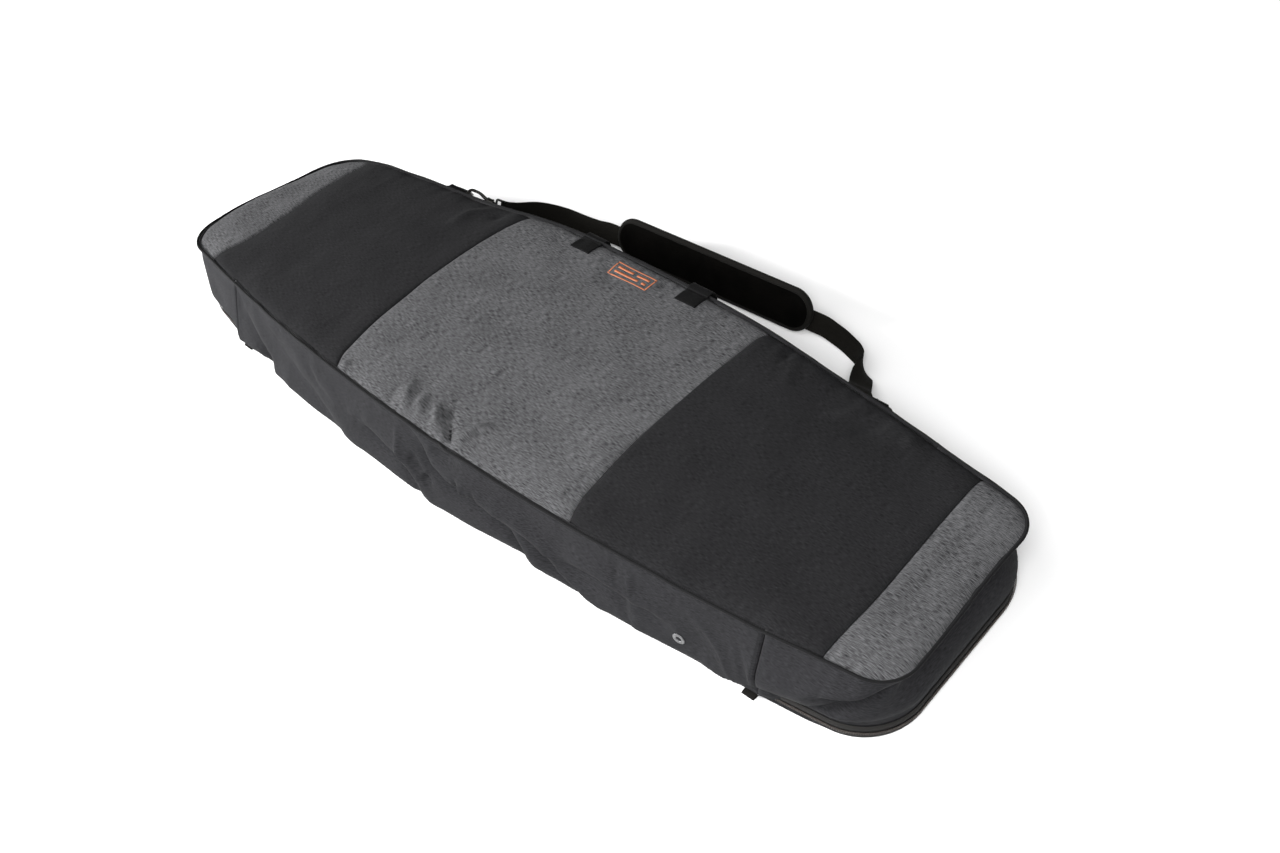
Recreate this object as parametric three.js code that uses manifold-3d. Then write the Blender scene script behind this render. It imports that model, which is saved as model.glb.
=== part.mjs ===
// A padded clamshell bag for a wide, short board: a flat base, a deep lid that is hinged along the
// near long side and zipped along the other three, a carry handle and a removable shoulder strap.
// Millimetres. +X runs along the bag, +Z is up, and the origin is the middle of the underside.
import * as THREE from "three";
import { mergeVertices } from "three/addons/utils/BufferGeometryUtils.js";
import Module from "manifold-3d";

const wasm = await Module();
wasm.setup();

// ---------------------------------------------------------------- driving dimensions
const GAP = 0.3; // air between pieces that touch on the real bag

const HALF_LENGTH = 746;
const TOP_HALF_WIDTH = 222; // at mid length, along the top seam
const BASE_HALF_WIDTH = 238; // at mid length, along the zip
const SIDE_RADIUS = 4518; // the long sides are arcs: 47 mm narrower at 650 mm from the middle
const TOP_CORNER_RADIUS = 55;
const BASE_CORNER_RADIUS = 90;
const FLARE_END_Z = 30; // the sides lean out from the top seam down to this height

const CLOTH = 2.0; // outer cloth with its coating and interlining
const LINING = 1.3;
const FOAM = 6.4;
const WALL = 4; // gusset: cloth, thin foam and lining sewn as one

const BASE_TOP_Z = 2.5 + GAP + FOAM + GAP + LINING;
const GUSSET_BOTTOM_Z = BASE_TOP_Z + GAP;
const TOP_SEAM_Z = 128;
const PANEL_SEAM_X = [258, 651]; // colour blocks of the front panel change here, left and right
const GUSSET_SEAM_X = 574; // the zip starts and ends at these upright seams

const TAPE = 1.0;
const COIL = 2.2;
const COIL_LOWER_Z = 10.2;
const COIL_UPPER_Z = COIL_LOWER_Z + COIL + GAP;
const ZIP_MIDDLE_Z = COIL_UPPER_Z - GAP / 2;

const PIPING_RADIUS = 2.4;
const EYELET_X = { left: -474, right: 454 };
const EYELET_Z = 44;
const EYELET_BORE_RADIUS = 4.5;

const WEB_WIDTH = 38; // shoulder webbing
const WEB_THICKNESS = 2.2;
const HANDLE_WEB_WIDTH = 42;
const HANDLE_X = 114; // middle of each handle anchor
const HANDLE_HINGE = { y: 221.8, z: 133.2 };

const D_RING_X = 452;
const D_RING_BAR = { y: 220, z: 113 };
const D_RING_WIRE = 2.25; // wire radius
const D_RING_HALF_WIDTH = 23.5;
const D_RING_CORNER = 4;

const SLIDER_X = 17; // the two sliders almost meet at the middle of the far side
const PULL_LENGTH = 20;

const PAD = { length: 415, width: 76, thickness: 9.4 };
const PAD_PLACE = { x: 12, y: 374, z: 37, lean: -0.36, turn: 0.045 }; // radians out of upright and off +X
const WEB_DROP = 10; // the webbing lies this far below the middle of the pad, in its sleeve


// ---------------------------------------------------------------- materials
const finish = (color, roughness, metalness = 0) =>
  new THREE.MeshStandardMaterial({ color, roughness, metalness });
const charcoalCloth = finish(0x2b2c2e, 0.85);
const gussetCloth = finish(0x303134, 0.8);
const heatherCloth = finish(0x6c6e72, 0.9);
const liningCloth = finish(0x3a3b3d, 0.8);
const foam = finish(0xb9b9b4, 0.95);
const blackTape = finish(0x141415, 0.8);
const coilNylon = finish(0x1c1b1a, 0.45);
const webbing = finish(0x171614, 0.75);
const padCloth = finish(0x0d0c0c, 0.95);
const gunmetal = finish(0x3c3b3a, 0.35, 0.9);
const nickel = finish(0x9b9da0, 0.3, 0.95);

// ---------------------------------------------------------------- small tools
const vec = (x, y, z) => new THREE.Vector3(x, y, z);
const lerp = THREE.MathUtils.lerp;
const degrees = THREE.MathUtils.degToRad;

// Skins a row of outlines that all have the same number of points. A closed row joins its last outline
// to its first; an open one is capped at both ends.
function loft(sections, closed = false) {
  const around = sections[0].length;
  const positions = sections.flat().flatMap((p) => [p.x, p.y, p.z]);
  const index = [];
  const rows = closed ? sections.length : sections.length - 1;
  for (let row = 0; row < rows; row++) {
    const here = row * around;
    const next = ((row + 1) % sections.length) * around;
    for (let i = 0; i < around; i++) {
      const j = (i + 1) % around;
      index.push(here + i, here + j, next + j, here + i, next + j, next + i);
    }
  }
  if (!closed) {
    const last = (sections.length - 1) * around;
    for (const [a, b, c] of capTriangles(sections[0])) index.push(c, b, a);
    for (const [a, b, c] of capTriangles(sections.at(-1))) index.push(last + a, last + b, last + c);
  }
  const geometry = new THREE.BufferGeometry();
  geometry.setAttribute("position", new THREE.Float32BufferAttribute(positions, 3));
  geometry.setIndex(signedVolume(positions, index) < 0 ? index.reverse() : index);
  return geometry;
}

// Triangles that fill one flat outline, as indices into it.
function capTriangles(outline) {
  const normal = vec(0, 0, 0);
  outline.forEach((p, i) => normal.add(vec(0, 0, 0).crossVectors(p, outline[(i + 1) % outline.length])));
  const turn = new THREE.Quaternion().setFromUnitVectors(normal.normalize(), vec(0, 0, 1));
  const flat = outline.map((p) => p.clone().applyQuaternion(turn)).map((p) => new THREE.Vector2(p.x, p.y));
  return THREE.ShapeUtils.triangulateShape(flat, []);
}

function signedVolume(positions, index) {
  const corner = (k) => vec(...positions.slice(3 * index[k], 3 * index[k] + 3));
  let volume = 0;
  for (let k = 0; k < index.length; k += 3) {
    volume += corner(k).dot(corner(k + 1).cross(corner(k + 2))) / 6;
  }
  return volume;
}

function toSolid(geometry) {
  const bare = new THREE.BufferGeometry();
  const source = geometry.index ? geometry.toNonIndexed() : geometry;
  bare.setAttribute("position", source.getAttribute("position"));
  const merged = mergeVertices(bare, 1e-4);
  return new wasm.Manifold(
    new wasm.Mesh({
      numProp: 3,
      vertProperties: merged.attributes.position.array,
      triVerts: new Uint32Array(merged.index.array),
    }),
  );
}

function toGeometry(solid) {
  const mesh = solid.getMesh();
  const geometry = new THREE.BufferGeometry();
  geometry.setAttribute("position", new THREE.Float32BufferAttribute(mesh.vertProperties, 3));
  geometry.setIndex(Array.from(mesh.triVerts));
  return geometry;
}

const join = (...pieces) => toGeometry(pieces.map(toSolid).reduce((a, b) => a.add(b)));
const cut = (piece, ...tools) => toGeometry(tools.map(toSolid).reduce((a, b) => a.subtract(b), toSolid(piece)));
const keep = (piece, region) => toGeometry(toSolid(piece).intersect(toSolid(region)));

const box = (x0, x1, y0, y1, z0, z1) =>
  new THREE.BoxGeometry(x1 - x0, y1 - y0, z1 - z0).translate((x0 + x1) / 2, (y0 + y1) / 2, (z0 + z1) / 2);

// A round bar or tube along +X, from x0 to x1, made by turning a closed profile.
function turnedAlongX(x0, x1, radius, bore = 0) {
  const profile = [
    new THREE.Vector2(bore, x0),
    new THREE.Vector2(radius, x0),
    new THREE.Vector2(radius, x1),
    new THREE.Vector2(bore, x1),
  ];
  if (bore) profile.push(profile[0].clone());
  return new THREE.LatheGeometry(profile, 16).rotateZ(-Math.PI / 2);
}

// A round wire whose middle follows points that lie in the plane with the given normal.
function wire(points, normal, radius, closed, sides = 8) {
  const sections = points.map((p, i) => {
    const before = points[closed ? (i + points.length - 1) % points.length : Math.max(i - 1, 0)];
    const after = points[closed ? (i + 1) % points.length : Math.min(i + 1, points.length - 1)];
    const out = vec(0, 0, 0).subVectors(after, before).normalize().cross(normal);
    return Array.from({ length: sides }, (_, k) => {
      const angle = (2 * Math.PI * k) / sides;
      return p
        .clone()
        .addScaledVector(out, radius * Math.cos(angle))
        .addScaledVector(normal, radius * Math.sin(angle));
    });
  });
  return loft(sections, closed);
}

// A flat strip through stations { at, across, width, thickness }. Each cross-section is square to the
// strip's own direction, and across is the way its width lies.
function strip(stations) {
  const sections = stations.map(({ at, across, width, thickness }, i) => {
    const before = stations[Math.max(i - 1, 0)].at;
    const after = stations[Math.min(i + 1, stations.length - 1)].at;
    const along = vec(0, 0, 0).subVectors(after, before).normalize();
    const side = across.clone().addScaledVector(along, -across.dot(along)).normalize();
    const face = vec(0, 0, 0).crossVectors(along, side);
    const corner = (a, b) =>
      at
        .clone()
        .addScaledVector(side, (a * width) / 2)
        .addScaledVector(face, (b * thickness) / 2);
    return [corner(1, 1), corner(-1, 1), corner(-1, -1), corner(1, -1)];
  });
  return loft(sections);
}

// Points along a closed or open flat path, without the doubled point where two pieces of it meet.
function pathPoints(path, divisions) {
  return path
    .getPoints(divisions)
    .filter((p, i, all) => p.distanceTo(all[(i + all.length - 1) % all.length]) > 1e-3);
}

function addPart(parent, name, geometry, material) {
  const mesh = new THREE.Mesh(geometry, material);
  mesh.name = name;
  parent.add(mesh);
  return mesh;
}

// ---------------------------------------------------------------- plan outline of the bag
// The outline at height z, moved in by inset: long sides that are arcs, straight ends, round corners.
function outlineAt(z, inset) {
  const flare = THREE.MathUtils.clamp((TOP_SEAM_Z - z) / (TOP_SEAM_Z - FLARE_END_Z), 0, 1);
  const halfWidth = lerp(TOP_HALF_WIDTH, BASE_HALF_WIDTH, flare) - inset;
  const cornerRadius = lerp(TOP_CORNER_RADIUS, BASE_CORNER_RADIUS, flare);
  const radius = SIDE_RADIUS - inset;
  const corner = cornerRadius - inset;
  const centreY = halfWidth - radius;
  const cornerX = HALF_LENGTH - cornerRadius;
  const cornerY = centreY + Math.sqrt((radius - corner) ** 2 - cornerX ** 2);
  const cornerAngle = Math.atan2(cornerX, cornerY - centreY);
  return { z, radius, corner, centreY, cornerX, cornerY, cornerAngle, halfLength: HALF_LENGTH - inset };
}

// A quarter of the outline: u is 0 at mid side, 1 at PLAIN_X, CORNER_START and CORNER_END at the two
// ends of the round corner, and 2.5 at mid end.
const PLAIN_X = 640;
const PLAIN_ANGLE = Math.asin(PLAIN_X / SIDE_RADIUS);
const CORNER_START = 1.2;
const CORNER_END = 2.2;
const MID_END = 2.5;

function quarterPoint(outline, u) {
  if (u <= CORNER_START) {
    const past = (u - 1) / (CORNER_START - 1);
    const angle = u <= 1 ? u * PLAIN_ANGLE : lerp(PLAIN_ANGLE, outline.cornerAngle, past);
    return [outline.radius * Math.sin(angle), outline.centreY + outline.radius * Math.cos(angle)];
  }
  if (u <= CORNER_END) {
    const angle = lerp(outline.cornerAngle, Math.PI / 2, (u - CORNER_START) / (CORNER_END - CORNER_START));
    return [
      outline.cornerX + outline.corner * Math.sin(angle),
      outline.cornerY + outline.corner * Math.cos(angle),
    ];
  }
  return [outline.halfLength, outline.cornerY * (1 - (u - CORNER_END) / (MID_END - CORNER_END))];
}

// The whole outline, anticlockwise from the middle of the near side: turn 0 to 10.
function outlinePoint(outline, turn) {
  const t = ((turn % 10) + 10) % 10;
  const near = t < 2.5 || t > 7.5;
  const right = t < 5;
  const u = [t, 5 - t, t - 5, 10 - t][Math.min(Math.floor(t / 2.5), 3)];
  const [x, y] = quarterPoint(outline, u);
  return vec(right ? x : -x, near ? -y : y, outline.z);
}

// Where the outline is divided: seven steps along half a side, five round a corner, one along half an end.
function turnsBetween(from, to) {
  const quarter = [];
  for (let i = 0; i <= 7; i++) quarter.push(i / 7);
  for (let i = 0; i <= 5; i++) quarter.push(lerp(CORNER_START, CORNER_END, i / 5));
  quarter.push(MID_END);
  const grid = [];
  for (let lap = -10; lap <= 10; lap += 10) {
    for (const u of quarter) grid.push(lap + u, lap + 5 - u, lap + 5 + u, lap + 10 - u);
  }
  const inside = grid.filter((t) => t > from + 1e-3 && t < to - 1e-3).sort((a, b) => a - b);
  return [from, ...inside.filter((t, i) => !i || t - inside[i - 1] > 1e-6), to];
}

// A wall that follows the outline between two turns. Its profile is a list of [inset, z].
function wall(profile, from, to) {
  const whole = to - from > 9.999;
  const turns = whole ? turnsBetween(from, to).slice(0, -1) : turnsBetween(from, to);
  const sections = turns.map((t) => profile.map(([inset, z]) => outlinePoint(outlineAt(z, inset), t)));
  return loft(sections, whole);
}

const rectangle = (inset, thickness, z0, z1) => [
  [inset, z0],
  [inset, z1],
  [inset + thickness, z1],
  [inset + thickness, z0],
];

// A flat layer that fills the outline.
function layer(inset, z0, z1) {
  const outline = outlineAt(z1, inset);
  const points = turnsBetween(0, 10).slice(0, -1).map((t) => outlinePoint(outline, t));
  const shape = new THREE.Shape(points.map((p) => new THREE.Vector2(p.x, p.y)));
  return new THREE.ExtrudeGeometry(shape, { depth: z1 - z0, bevelEnabled: false }).translate(0, 0, z0);
}

const SEAM_TURN = Math.asin(GUSSET_SEAM_X / SIDE_RADIUS) / PLAIN_ANGLE;
const SEAM_GAP = GAP / GUSSET_SEAM_X;

// Half-width of the bag at a distance from its middle.
function halfWidthAt(x, z) {
  const outline = outlineAt(z, 0);
  return outline.centreY + Math.sqrt(outline.radius ** 2 - x ** 2);
}

// ---------------------------------------------------------------- base
function makeBase() {
  const base = new THREE.Group();
  const foamZ = 2.5 + GAP;
  addPart(base, "base_outer_cloth", layer(0, 0, 2.5), charcoalCloth);
  addPart(base, "base_foam", layer(2, foamZ, foamZ + FOAM), foam);
  addPart(base, "base_lining", layer(0, BASE_TOP_Z - LINING, BASE_TOP_Z), liningCloth);
  const from = SEAM_TURN;
  const to = 10 - SEAM_TURN;
  addPart(base, "zip_tape_lower", wall(rectangle(-GAP - TAPE, TAPE, 1, BASE_TOP_Z), from, to), blackTape);
  const coil = rectangle(-2 * GAP - TAPE - COIL, COIL, COIL_LOWER_Z, COIL_LOWER_Z + COIL);
  addPart(base, "zip_coil_lower", wall(coil, from, to), coilNylon);
  for (const [name, side] of [["left", -1], ["right", 1]]) {
    const edge = -halfWidthAt(GUSSET_SEAM_X, 0) - 1;
    const tab = box(-11, 11, edge - 12, edge, 4, 7).translate(side * (GUSSET_SEAM_X - 13), 0, 0);
    addPart(base, `zip_end_tab_${name}`, tab, webbing);
  }
  return base;
}

// ---------------------------------------------------------------- zip sliders
// A slider hugs the two coils from outside. A bridge on its face holds the crossbar of the pull.
const SLIDER_FACE_Y = BASE_HALF_WIDTH + 2 * GAP + TAPE + COIL + 0.6;
const SLIDER_PLATE = 2;
const PULL_Y = SLIDER_FACE_Y + SLIDER_PLATE + 1.7;

function sliderBody() {
  const face = box(-6, 6, SLIDER_FACE_Y, SLIDER_FACE_Y + SLIDER_PLATE, 6.5, 18.5);
  const rail = box(-6, 6, BASE_HALF_WIDTH + 2, SLIDER_FACE_Y + 0.5, 6.5, COIL_LOWER_Z - 0.7);
  const arc = new THREE.Path().absarc(0, 0, 4.4, 0, Math.PI, false);
  const bridgePoints = pathPoints(arc, 10).map((p) =>
    vec(p.x, SLIDER_FACE_Y + SLIDER_PLATE - 0.4 + p.y, ZIP_MIDDLE_Z),
  );
  bridgePoints.unshift(bridgePoints[0].clone().add(vec(0, -1, 0)));
  bridgePoints.push(bridgePoints.at(-1).clone().add(vec(0, -1, 0)));
  return join(face, rail, wire(bridgePoints, vec(0, 0, 1), 0.8, false, 6));
}

// The pull is a plate with a window: the bridge goes through the window, and the plate's end bar is
// the crossbar that it turns on.
function pullTab(direction) {
  const plate = new THREE.Shape();
  plate.moveTo(-0.9, -4.2);
  plate.lineTo(PULL_LENGTH - 4.2, -4.2);
  plate.absarc(PULL_LENGTH - 4.2, 0, 4.2, -Math.PI / 2, Math.PI / 2, false);
  plate.lineTo(-0.9, 4.2);
  plate.closePath();
  const window = new THREE.Path([
    new THREE.Vector2(0.9, -2.6),
    new THREE.Vector2(0.9, 2.6),
    new THREE.Vector2(6.6, 2.6),
    new THREE.Vector2(6.6, -2.6),
  ]);
  plate.holes.push(window);
  const geometry = new THREE.ExtrudeGeometry(plate, { depth: 1.6, bevelEnabled: false, curveSegments: 8 });
  geometry.translate(0, 0, -0.8).rotateX(Math.PI / 2);
  if (direction < 0) geometry.rotateZ(Math.PI);
  return geometry;
}

function makeSliders() {
  const sliders = new THREE.Group();
  const arcCentreY = BASE_HALF_WIDTH - SIDE_RADIUS;
  for (const [name, side] of [["left", -1], ["right", 1]]) {
    // The sliders run on the arc of the far side, so each is turned about the arc's centre.
    const carriage = new THREE.Group();
    carriage.position.set(0, arcCentreY, 0);
    carriage.rotation.z = -side * Math.asin(SLIDER_X / SIDE_RADIUS);
    const body = addPart(carriage, `zip_slider_${name}`, sliderBody(), nickel);
    body.position.set(0, -arcCentreY, 0);
    const pull = addPart(carriage, `zip_pull_${name}`, pullTab(side), gunmetal);
    pull.position.set(0, PULL_Y - arcCentreY, ZIP_MIDDLE_Z);
    sliders.add(carriage);
  }
  return sliders;
}

// ---------------------------------------------------------------- lid: front panel
function frontPanel(lid) {
  const z0 = TOP_SEAM_Z + GAP;
  const whole = layer(0, z0, z0 + CLOTH);
  const [inner, outer] = PANEL_SEAM_X;
  const blocks = [
    ["left_end", -HALF_LENGTH - 5, -outer, heatherCloth],
    ["left_block", -outer, -inner, charcoalCloth],
    ["centre", -inner, inner, heatherCloth],
    ["right_block", inner, outer, charcoalCloth],
    ["right_end", outer, HALF_LENGTH + 5, heatherCloth],
  ];
  for (const [name, x0, x1, cloth] of blocks) {
    const region = box(x0 + GAP / 2, x1 - GAP / 2, -300, 300, z0 - 5, z0 + 10);
    addPart(lid, `front_panel_${name}`, keep(whole, region), cloth);
  }
  const foamZ = TOP_SEAM_Z - FOAM;
  addPart(lid, "front_foam", layer(WALL + GAP, foamZ, TOP_SEAM_Z), foam);
  addPart(lid, "front_lining", layer(WALL + GAP, foamZ - GAP - LINING, foamZ - GAP), liningCloth);
}

function frontPiping(lid) {
  const ring = Array.from({ length: 6 }, (_, k) => {
    const angle = (Math.PI * k) / 3;
    return [-PIPING_RADIUS - GAP - PIPING_RADIUS * Math.cos(angle), 128.9 + PIPING_RADIUS * Math.sin(angle)];
  });
  addPart(lid, "front_piping", wall(ring, 0, 10), blackTape);
}

// ---------------------------------------------------------------- lid: gussets, eyelets and upper zip
// A cylinder square to the near gusset at an eyelet, and the eyelet itself, share this placement.
function placeOnNearGusset(geometry, x) {
  const lean = Math.atan2(BASE_HALF_WIDTH - TOP_HALF_WIDTH, TOP_SEAM_Z - FLARE_END_Z);
  return geometry
    .rotateX(Math.PI - lean)
    .rotateZ(Math.asin(x / SIDE_RADIUS))
    .translate(x, -halfWidthAt(x, EYELET_Z) + WALL / 2, EYELET_Z);
}

function eyelet() {
  const half = WALL / 2 + GAP;
  const flange = 1.2;
  const profile = [
    [EYELET_BORE_RADIUS, -half - flange],
    [8, -half - flange],
    [8, -half],
    [EYELET_BORE_RADIUS + 1.1, -half],
    [EYELET_BORE_RADIUS + 1.1, half],
    [9.5, half],
    [8.6, half + flange],
    [EYELET_BORE_RADIUS + 0.6, half + flange],
    [EYELET_BORE_RADIUS, half + 0.5],
    [EYELET_BORE_RADIUS, -half - flange],
  ].map(([r, h]) => new THREE.Vector2(r, h));
  return new THREE.LatheGeometry(profile, 16);
}

function gussets(lid) {
  const levels = [GUSSET_BOTTOM_Z, FLARE_END_Z, 80, TOP_SEAM_Z];
  const profile = [...levels.map((z) => [0, z]), ...levels.toReversed().map((z) => [WALL, z])];
  const seams = [SEAM_TURN, 5 - SEAM_TURN, 5 + SEAM_TURN, 10 - SEAM_TURN];
  const bore = EYELET_BORE_RADIUS + 1.4;
  const holes = Object.values(EYELET_X).map((x) =>
    placeOnNearGusset(new THREE.CylinderGeometry(bore, bore, 30, 16), x),
  );
  const near = wall(profile, seams[3] - 10 + SEAM_GAP, seams[0] - SEAM_GAP);
  addPart(lid, "gusset_near", cut(near, ...holes), gussetCloth);
  addPart(lid, "gusset_right_end", wall(profile, seams[0], seams[1]), gussetCloth);
  addPart(lid, "gusset_far", wall(profile, seams[1] + SEAM_GAP, seams[2] - SEAM_GAP), gussetCloth);
  addPart(lid, "gusset_left_end", wall(profile, seams[2], seams[3]), gussetCloth);
  for (const [name, x] of Object.entries(EYELET_X)) {
    addPart(lid, `eyelet_${name}`, placeOnNearGusset(eyelet(), x), nickel);
  }
  const tape = rectangle(-GAP - TAPE, TAPE, COIL_UPPER_Z + COIL - 0.4, 27);
  addPart(lid, "zip_tape_upper", wall(tape, seams[0], seams[3]), blackTape);
  const coil = rectangle(-2 * GAP - TAPE - COIL, COIL, COIL_UPPER_Z, COIL_UPPER_Z + COIL);
  addPart(lid, "zip_coil_upper", wall(coil, seams[0], seams[3]), coilNylon);
}

// ---------------------------------------------------------------- lid: carry handle
const PANEL_TOP_Z = TOP_SEAM_Z + GAP + CLOTH;

function handleAnchors(lid) {
  for (const [name, side] of [["left", -1], ["right", 1]]) {
    const half = HANDLE_WEB_WIDTH / 2;
    const patch = box(-half, half, 191, 219.8, PANEL_TOP_Z + GAP, PANEL_TOP_Z + GAP + 2);
    addPart(lid, `handle_anchor_${name}`, patch.translate(side * HANDLE_X, 0, 0), webbing);
  }
}

// The webbing leaves the two anchors over the piping, hangs down the far side and is folded to half
// its width in the middle, where the hand goes.
function carryHandle() {
  const leg = [
    [HANDLE_X, HANDLE_HINGE.y + 0.8, HANDLE_HINGE.z, 0],
    [HANDLE_X, 229, 135.4, 0],
    [HANDLE_X, 237, 135.4, 0],
    [HANDLE_X, 243.5, 131, 0],
    [HANDLE_X, 246.5, 122, 0],
    [HANDLE_X, 247.5, 106, 0],
    [HANDLE_X - 2, 248.5, 88, 0.05],
    [HANDLE_X - 9, 250, 70, 0.25],
    [HANDLE_X - 23, 252.5, 56, 0.6],
    [HANDLE_X - 46, 254, 47.5, 0.9],
    [HANDLE_X - 75, 254.5, 44.5, 1],
  ].map(([x, y, z, fold]) => ({
    at: vec(x, y, z),
    across: vec(Math.cos((fold * Math.PI) / 2), Math.sin((fold * Math.PI) / 2), 0),
    width: lerp(HANDLE_WEB_WIDTH, 22, fold),
    thickness: lerp(2.4, 5.5, fold),
  }));
  const mirrored = leg.toReversed().map((s) => ({
    ...s,
    at: vec(-s.at.x, s.at.y, s.at.z),
    across: vec(-s.across.x, s.across.y, 0),
  }));
  return strip([...leg, ...mirrored]);
}

// ---------------------------------------------------------------- lid: D-rings and their tabs
function dRingTab(side) {
  const { y, z } = D_RING_BAR;
  const seam = halfWidthAt(D_RING_X - WEB_WIDTH / 2, 117) + GAP + 0.2;
  const slope = Math.atan2(z - 123.5, y - seam - 2);
  const arm = box(-WEB_WIDTH / 2, WEB_WIDTH / 2, -Math.hypot(z - 123.5, y - seam - 2), 0, -2.3, 2.3);
  arm.rotateX(slope).translate(0, y, z);
  const loop = turnedAlongX(-WEB_WIDTH / 2, WEB_WIDTH / 2, 4.9).translate(0, y, z);
  const bore = turnedAlongX(-WEB_WIDTH, WEB_WIDTH, D_RING_WIRE + 0.5).translate(0, y, z);
  const clearOfGusset = box(-WEB_WIDTH, WEB_WIDTH, seam, y + 20, z - 20, 126);
  return keep(cut(join(arm, loop), bore), clearOfGusset).translate(side * D_RING_X, 0, 0);
}

// Flat in its own XY plane: the straight bar on the X axis, the bow on the +Y side.
function dRing() {
  const straight = D_RING_HALF_WIDTH - D_RING_CORNER;
  const path = new THREE.Path();
  path.moveTo(-straight, 0);
  path.lineTo(straight, 0);
  path.absarc(straight, D_RING_CORNER, D_RING_CORNER, -Math.PI / 2, 0, false);
  path.absarc(0, D_RING_CORNER, D_RING_HALF_WIDTH, 0, Math.PI, false);
  path.absarc(-straight, D_RING_CORNER, D_RING_CORNER, Math.PI, 1.5 * Math.PI, false);
  const points = pathPoints(path, 6).map((p) => vec(p.x, p.y, 0));
  return wire(points, vec(0, 0, 1), D_RING_WIRE, true);
}

// How each end of the strap hangs: the tilt of its D-ring below level, and how far round the bow its hook sits.
const ENDS = {
  left: { side: -1, tilt: degrees(42), bow: degrees(38), across: vec(0.535, -0.178, 0.825) },
  right: { side: 1, tilt: degrees(65), bow: degrees(60), across: vec(-0.855, -0.354, 0.379) },
};

// The hook's own axis: where it starts inside the D-ring's bow, and which way it points.
function hookAxis({ side, tilt, bow }) {
  const outward = vec(0, Math.cos(tilt), -Math.sin(tilt));
  const start = vec(side * D_RING_X, D_RING_BAR.y, D_RING_BAR.z)
    .addScaledVector(outward, D_RING_CORNER + D_RING_HALF_WIDTH * Math.sin(bow))
    .add(vec(-side * D_RING_HALF_WIDTH * Math.cos(bow), 0, 0));
  const along = vec(-side * Math.cos(bow), 0, 0).addScaledVector(outward, Math.sin(bow));
  const ringNormal = vec(0, 0, 0).crossVectors(vec(1, 0, 0), outward);
  return { start, along, ringNormal };
}

function addDRings(group) {
  for (const [name, end] of Object.entries(ENDS)) {
    const ring = addPart(group, `d_ring_${name}`, dRing(), gunmetal);
    ring.position.set(end.side * D_RING_X, D_RING_BAR.y, D_RING_BAR.z);
    ring.rotation.x = -end.tilt;
  }
}

// ---------------------------------------------------------------- shoulder strap: hooks
// A swivel snap hook lies along its own +X. The D-ring's bow passes through the origin, along its own Z.
const HOOK = { bend: 8.5, wire: 2.7, barrelStart: 27, barrelEnd: 40, barrelRadius: 6.4, eyeBar: 58 };

function hookBody() {
  const { bend, wire: radius, barrelStart, barrelEnd, barrelRadius } = HOOK;
  const points = [vec(barrelStart + 2, 1.2, 0), vec(22, 3.4, 0), vec(15, 6.6, 0)];
  for (let angle = 70; angle <= 270; angle += 20) {
    points.push(vec(bend * Math.cos(degrees(angle)), bend * Math.sin(degrees(angle)), 0));
  }
  points.push(vec(4.5, -bend, 0));
  const barrel = turnedAlongX(barrelStart, barrelEnd, barrelRadius);
  const bore = turnedAlongX(barrelStart + 3, barrelEnd + 5, 3.1);
  return cut(join(wire(points, vec(0, 0, 1), radius, false), barrel), bore);
}

// The sprung gate closes the mouth: it reaches from the hook's tip to its pivot beside the barrel.
function hookGate() {
  const points = [vec(5.1, -HOOK.bend, 0), vec(15, -8.2, 0), vec(25.6, -6.9, 0)];
  return wire(points, vec(0, 0, 1), 1.9, false, 6);
}

// The eye is a square wire loop, as wide as the webbing, on a stem that turns in the barrel.
function swivelEye() {
  const half = WEB_WIDTH / 2 + 3;
  const nearBar = HOOK.eyeBar - 12;
  const loop = new THREE.Path();
  loop.moveTo(nearBar, -half + 4);
  loop.absarc(nearBar + 4, -half + 4, 4, Math.PI, 1.5 * Math.PI, false);
  loop.absarc(HOOK.eyeBar - 4, -half + 4, 4, -Math.PI / 2, 0, false);
  loop.absarc(HOOK.eyeBar - 4, half - 4, 4, 0, Math.PI / 2, false);
  loop.absarc(nearBar + 4, half - 4, 4, Math.PI / 2, Math.PI, false);
  const points = pathPoints(loop, 4).map((p) => vec(p.x, 0, p.y));
  const stem = turnedAlongX(HOOK.barrelStart + 3.5, nearBar, 2.6);
  return join(wire(points, vec(0, 1, 0), 2.1, true), stem);
}

function addHooks(group) {
  for (const [name, end] of Object.entries(ENDS)) {
    const { start, along, ringNormal } = hookAxis(end);
    const hook = new THREE.Group();
    hook.position.copy(start);
    const bowWay = vec(0, 0, 0).crossVectors(along, ringNormal);
    hook.quaternion.setFromRotationMatrix(new THREE.Matrix4().makeBasis(along, ringNormal, bowWay));
    addPart(hook, `snap_hook_${name}`, hookBody(), gunmetal);
    addPart(hook, `hook_gate_${name}`, hookGate(), nickel);
    group.add(hook);

    const eye = addPart(group, `swivel_eye_${name}`, swivelEye(), gunmetal);
    const across = end.across.clone().addScaledVector(along, -end.across.dot(along)).normalize();
    const flat = vec(0, 0, 0).crossVectors(across, along);
    eye.position.copy(start);
    eye.quaternion.setFromRotationMatrix(new THREE.Matrix4().makeBasis(along, flat, across));
  }
}

// ---------------------------------------------------------------- shoulder strap: webbing and pad
// A place in the pad's own frame, which leans and turns with the pad, in the frame of the bag.
function padPoint(x, y, z) {
  const { lean, turn } = PAD_PLACE;
  return vec(x, y, z)
    .applyEuler(new THREE.Euler(lean, 0, turn, "ZYX"))
    .add(vec(PAD_PLACE.x, PAD_PLACE.y, PAD_PLACE.z));
}

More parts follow.
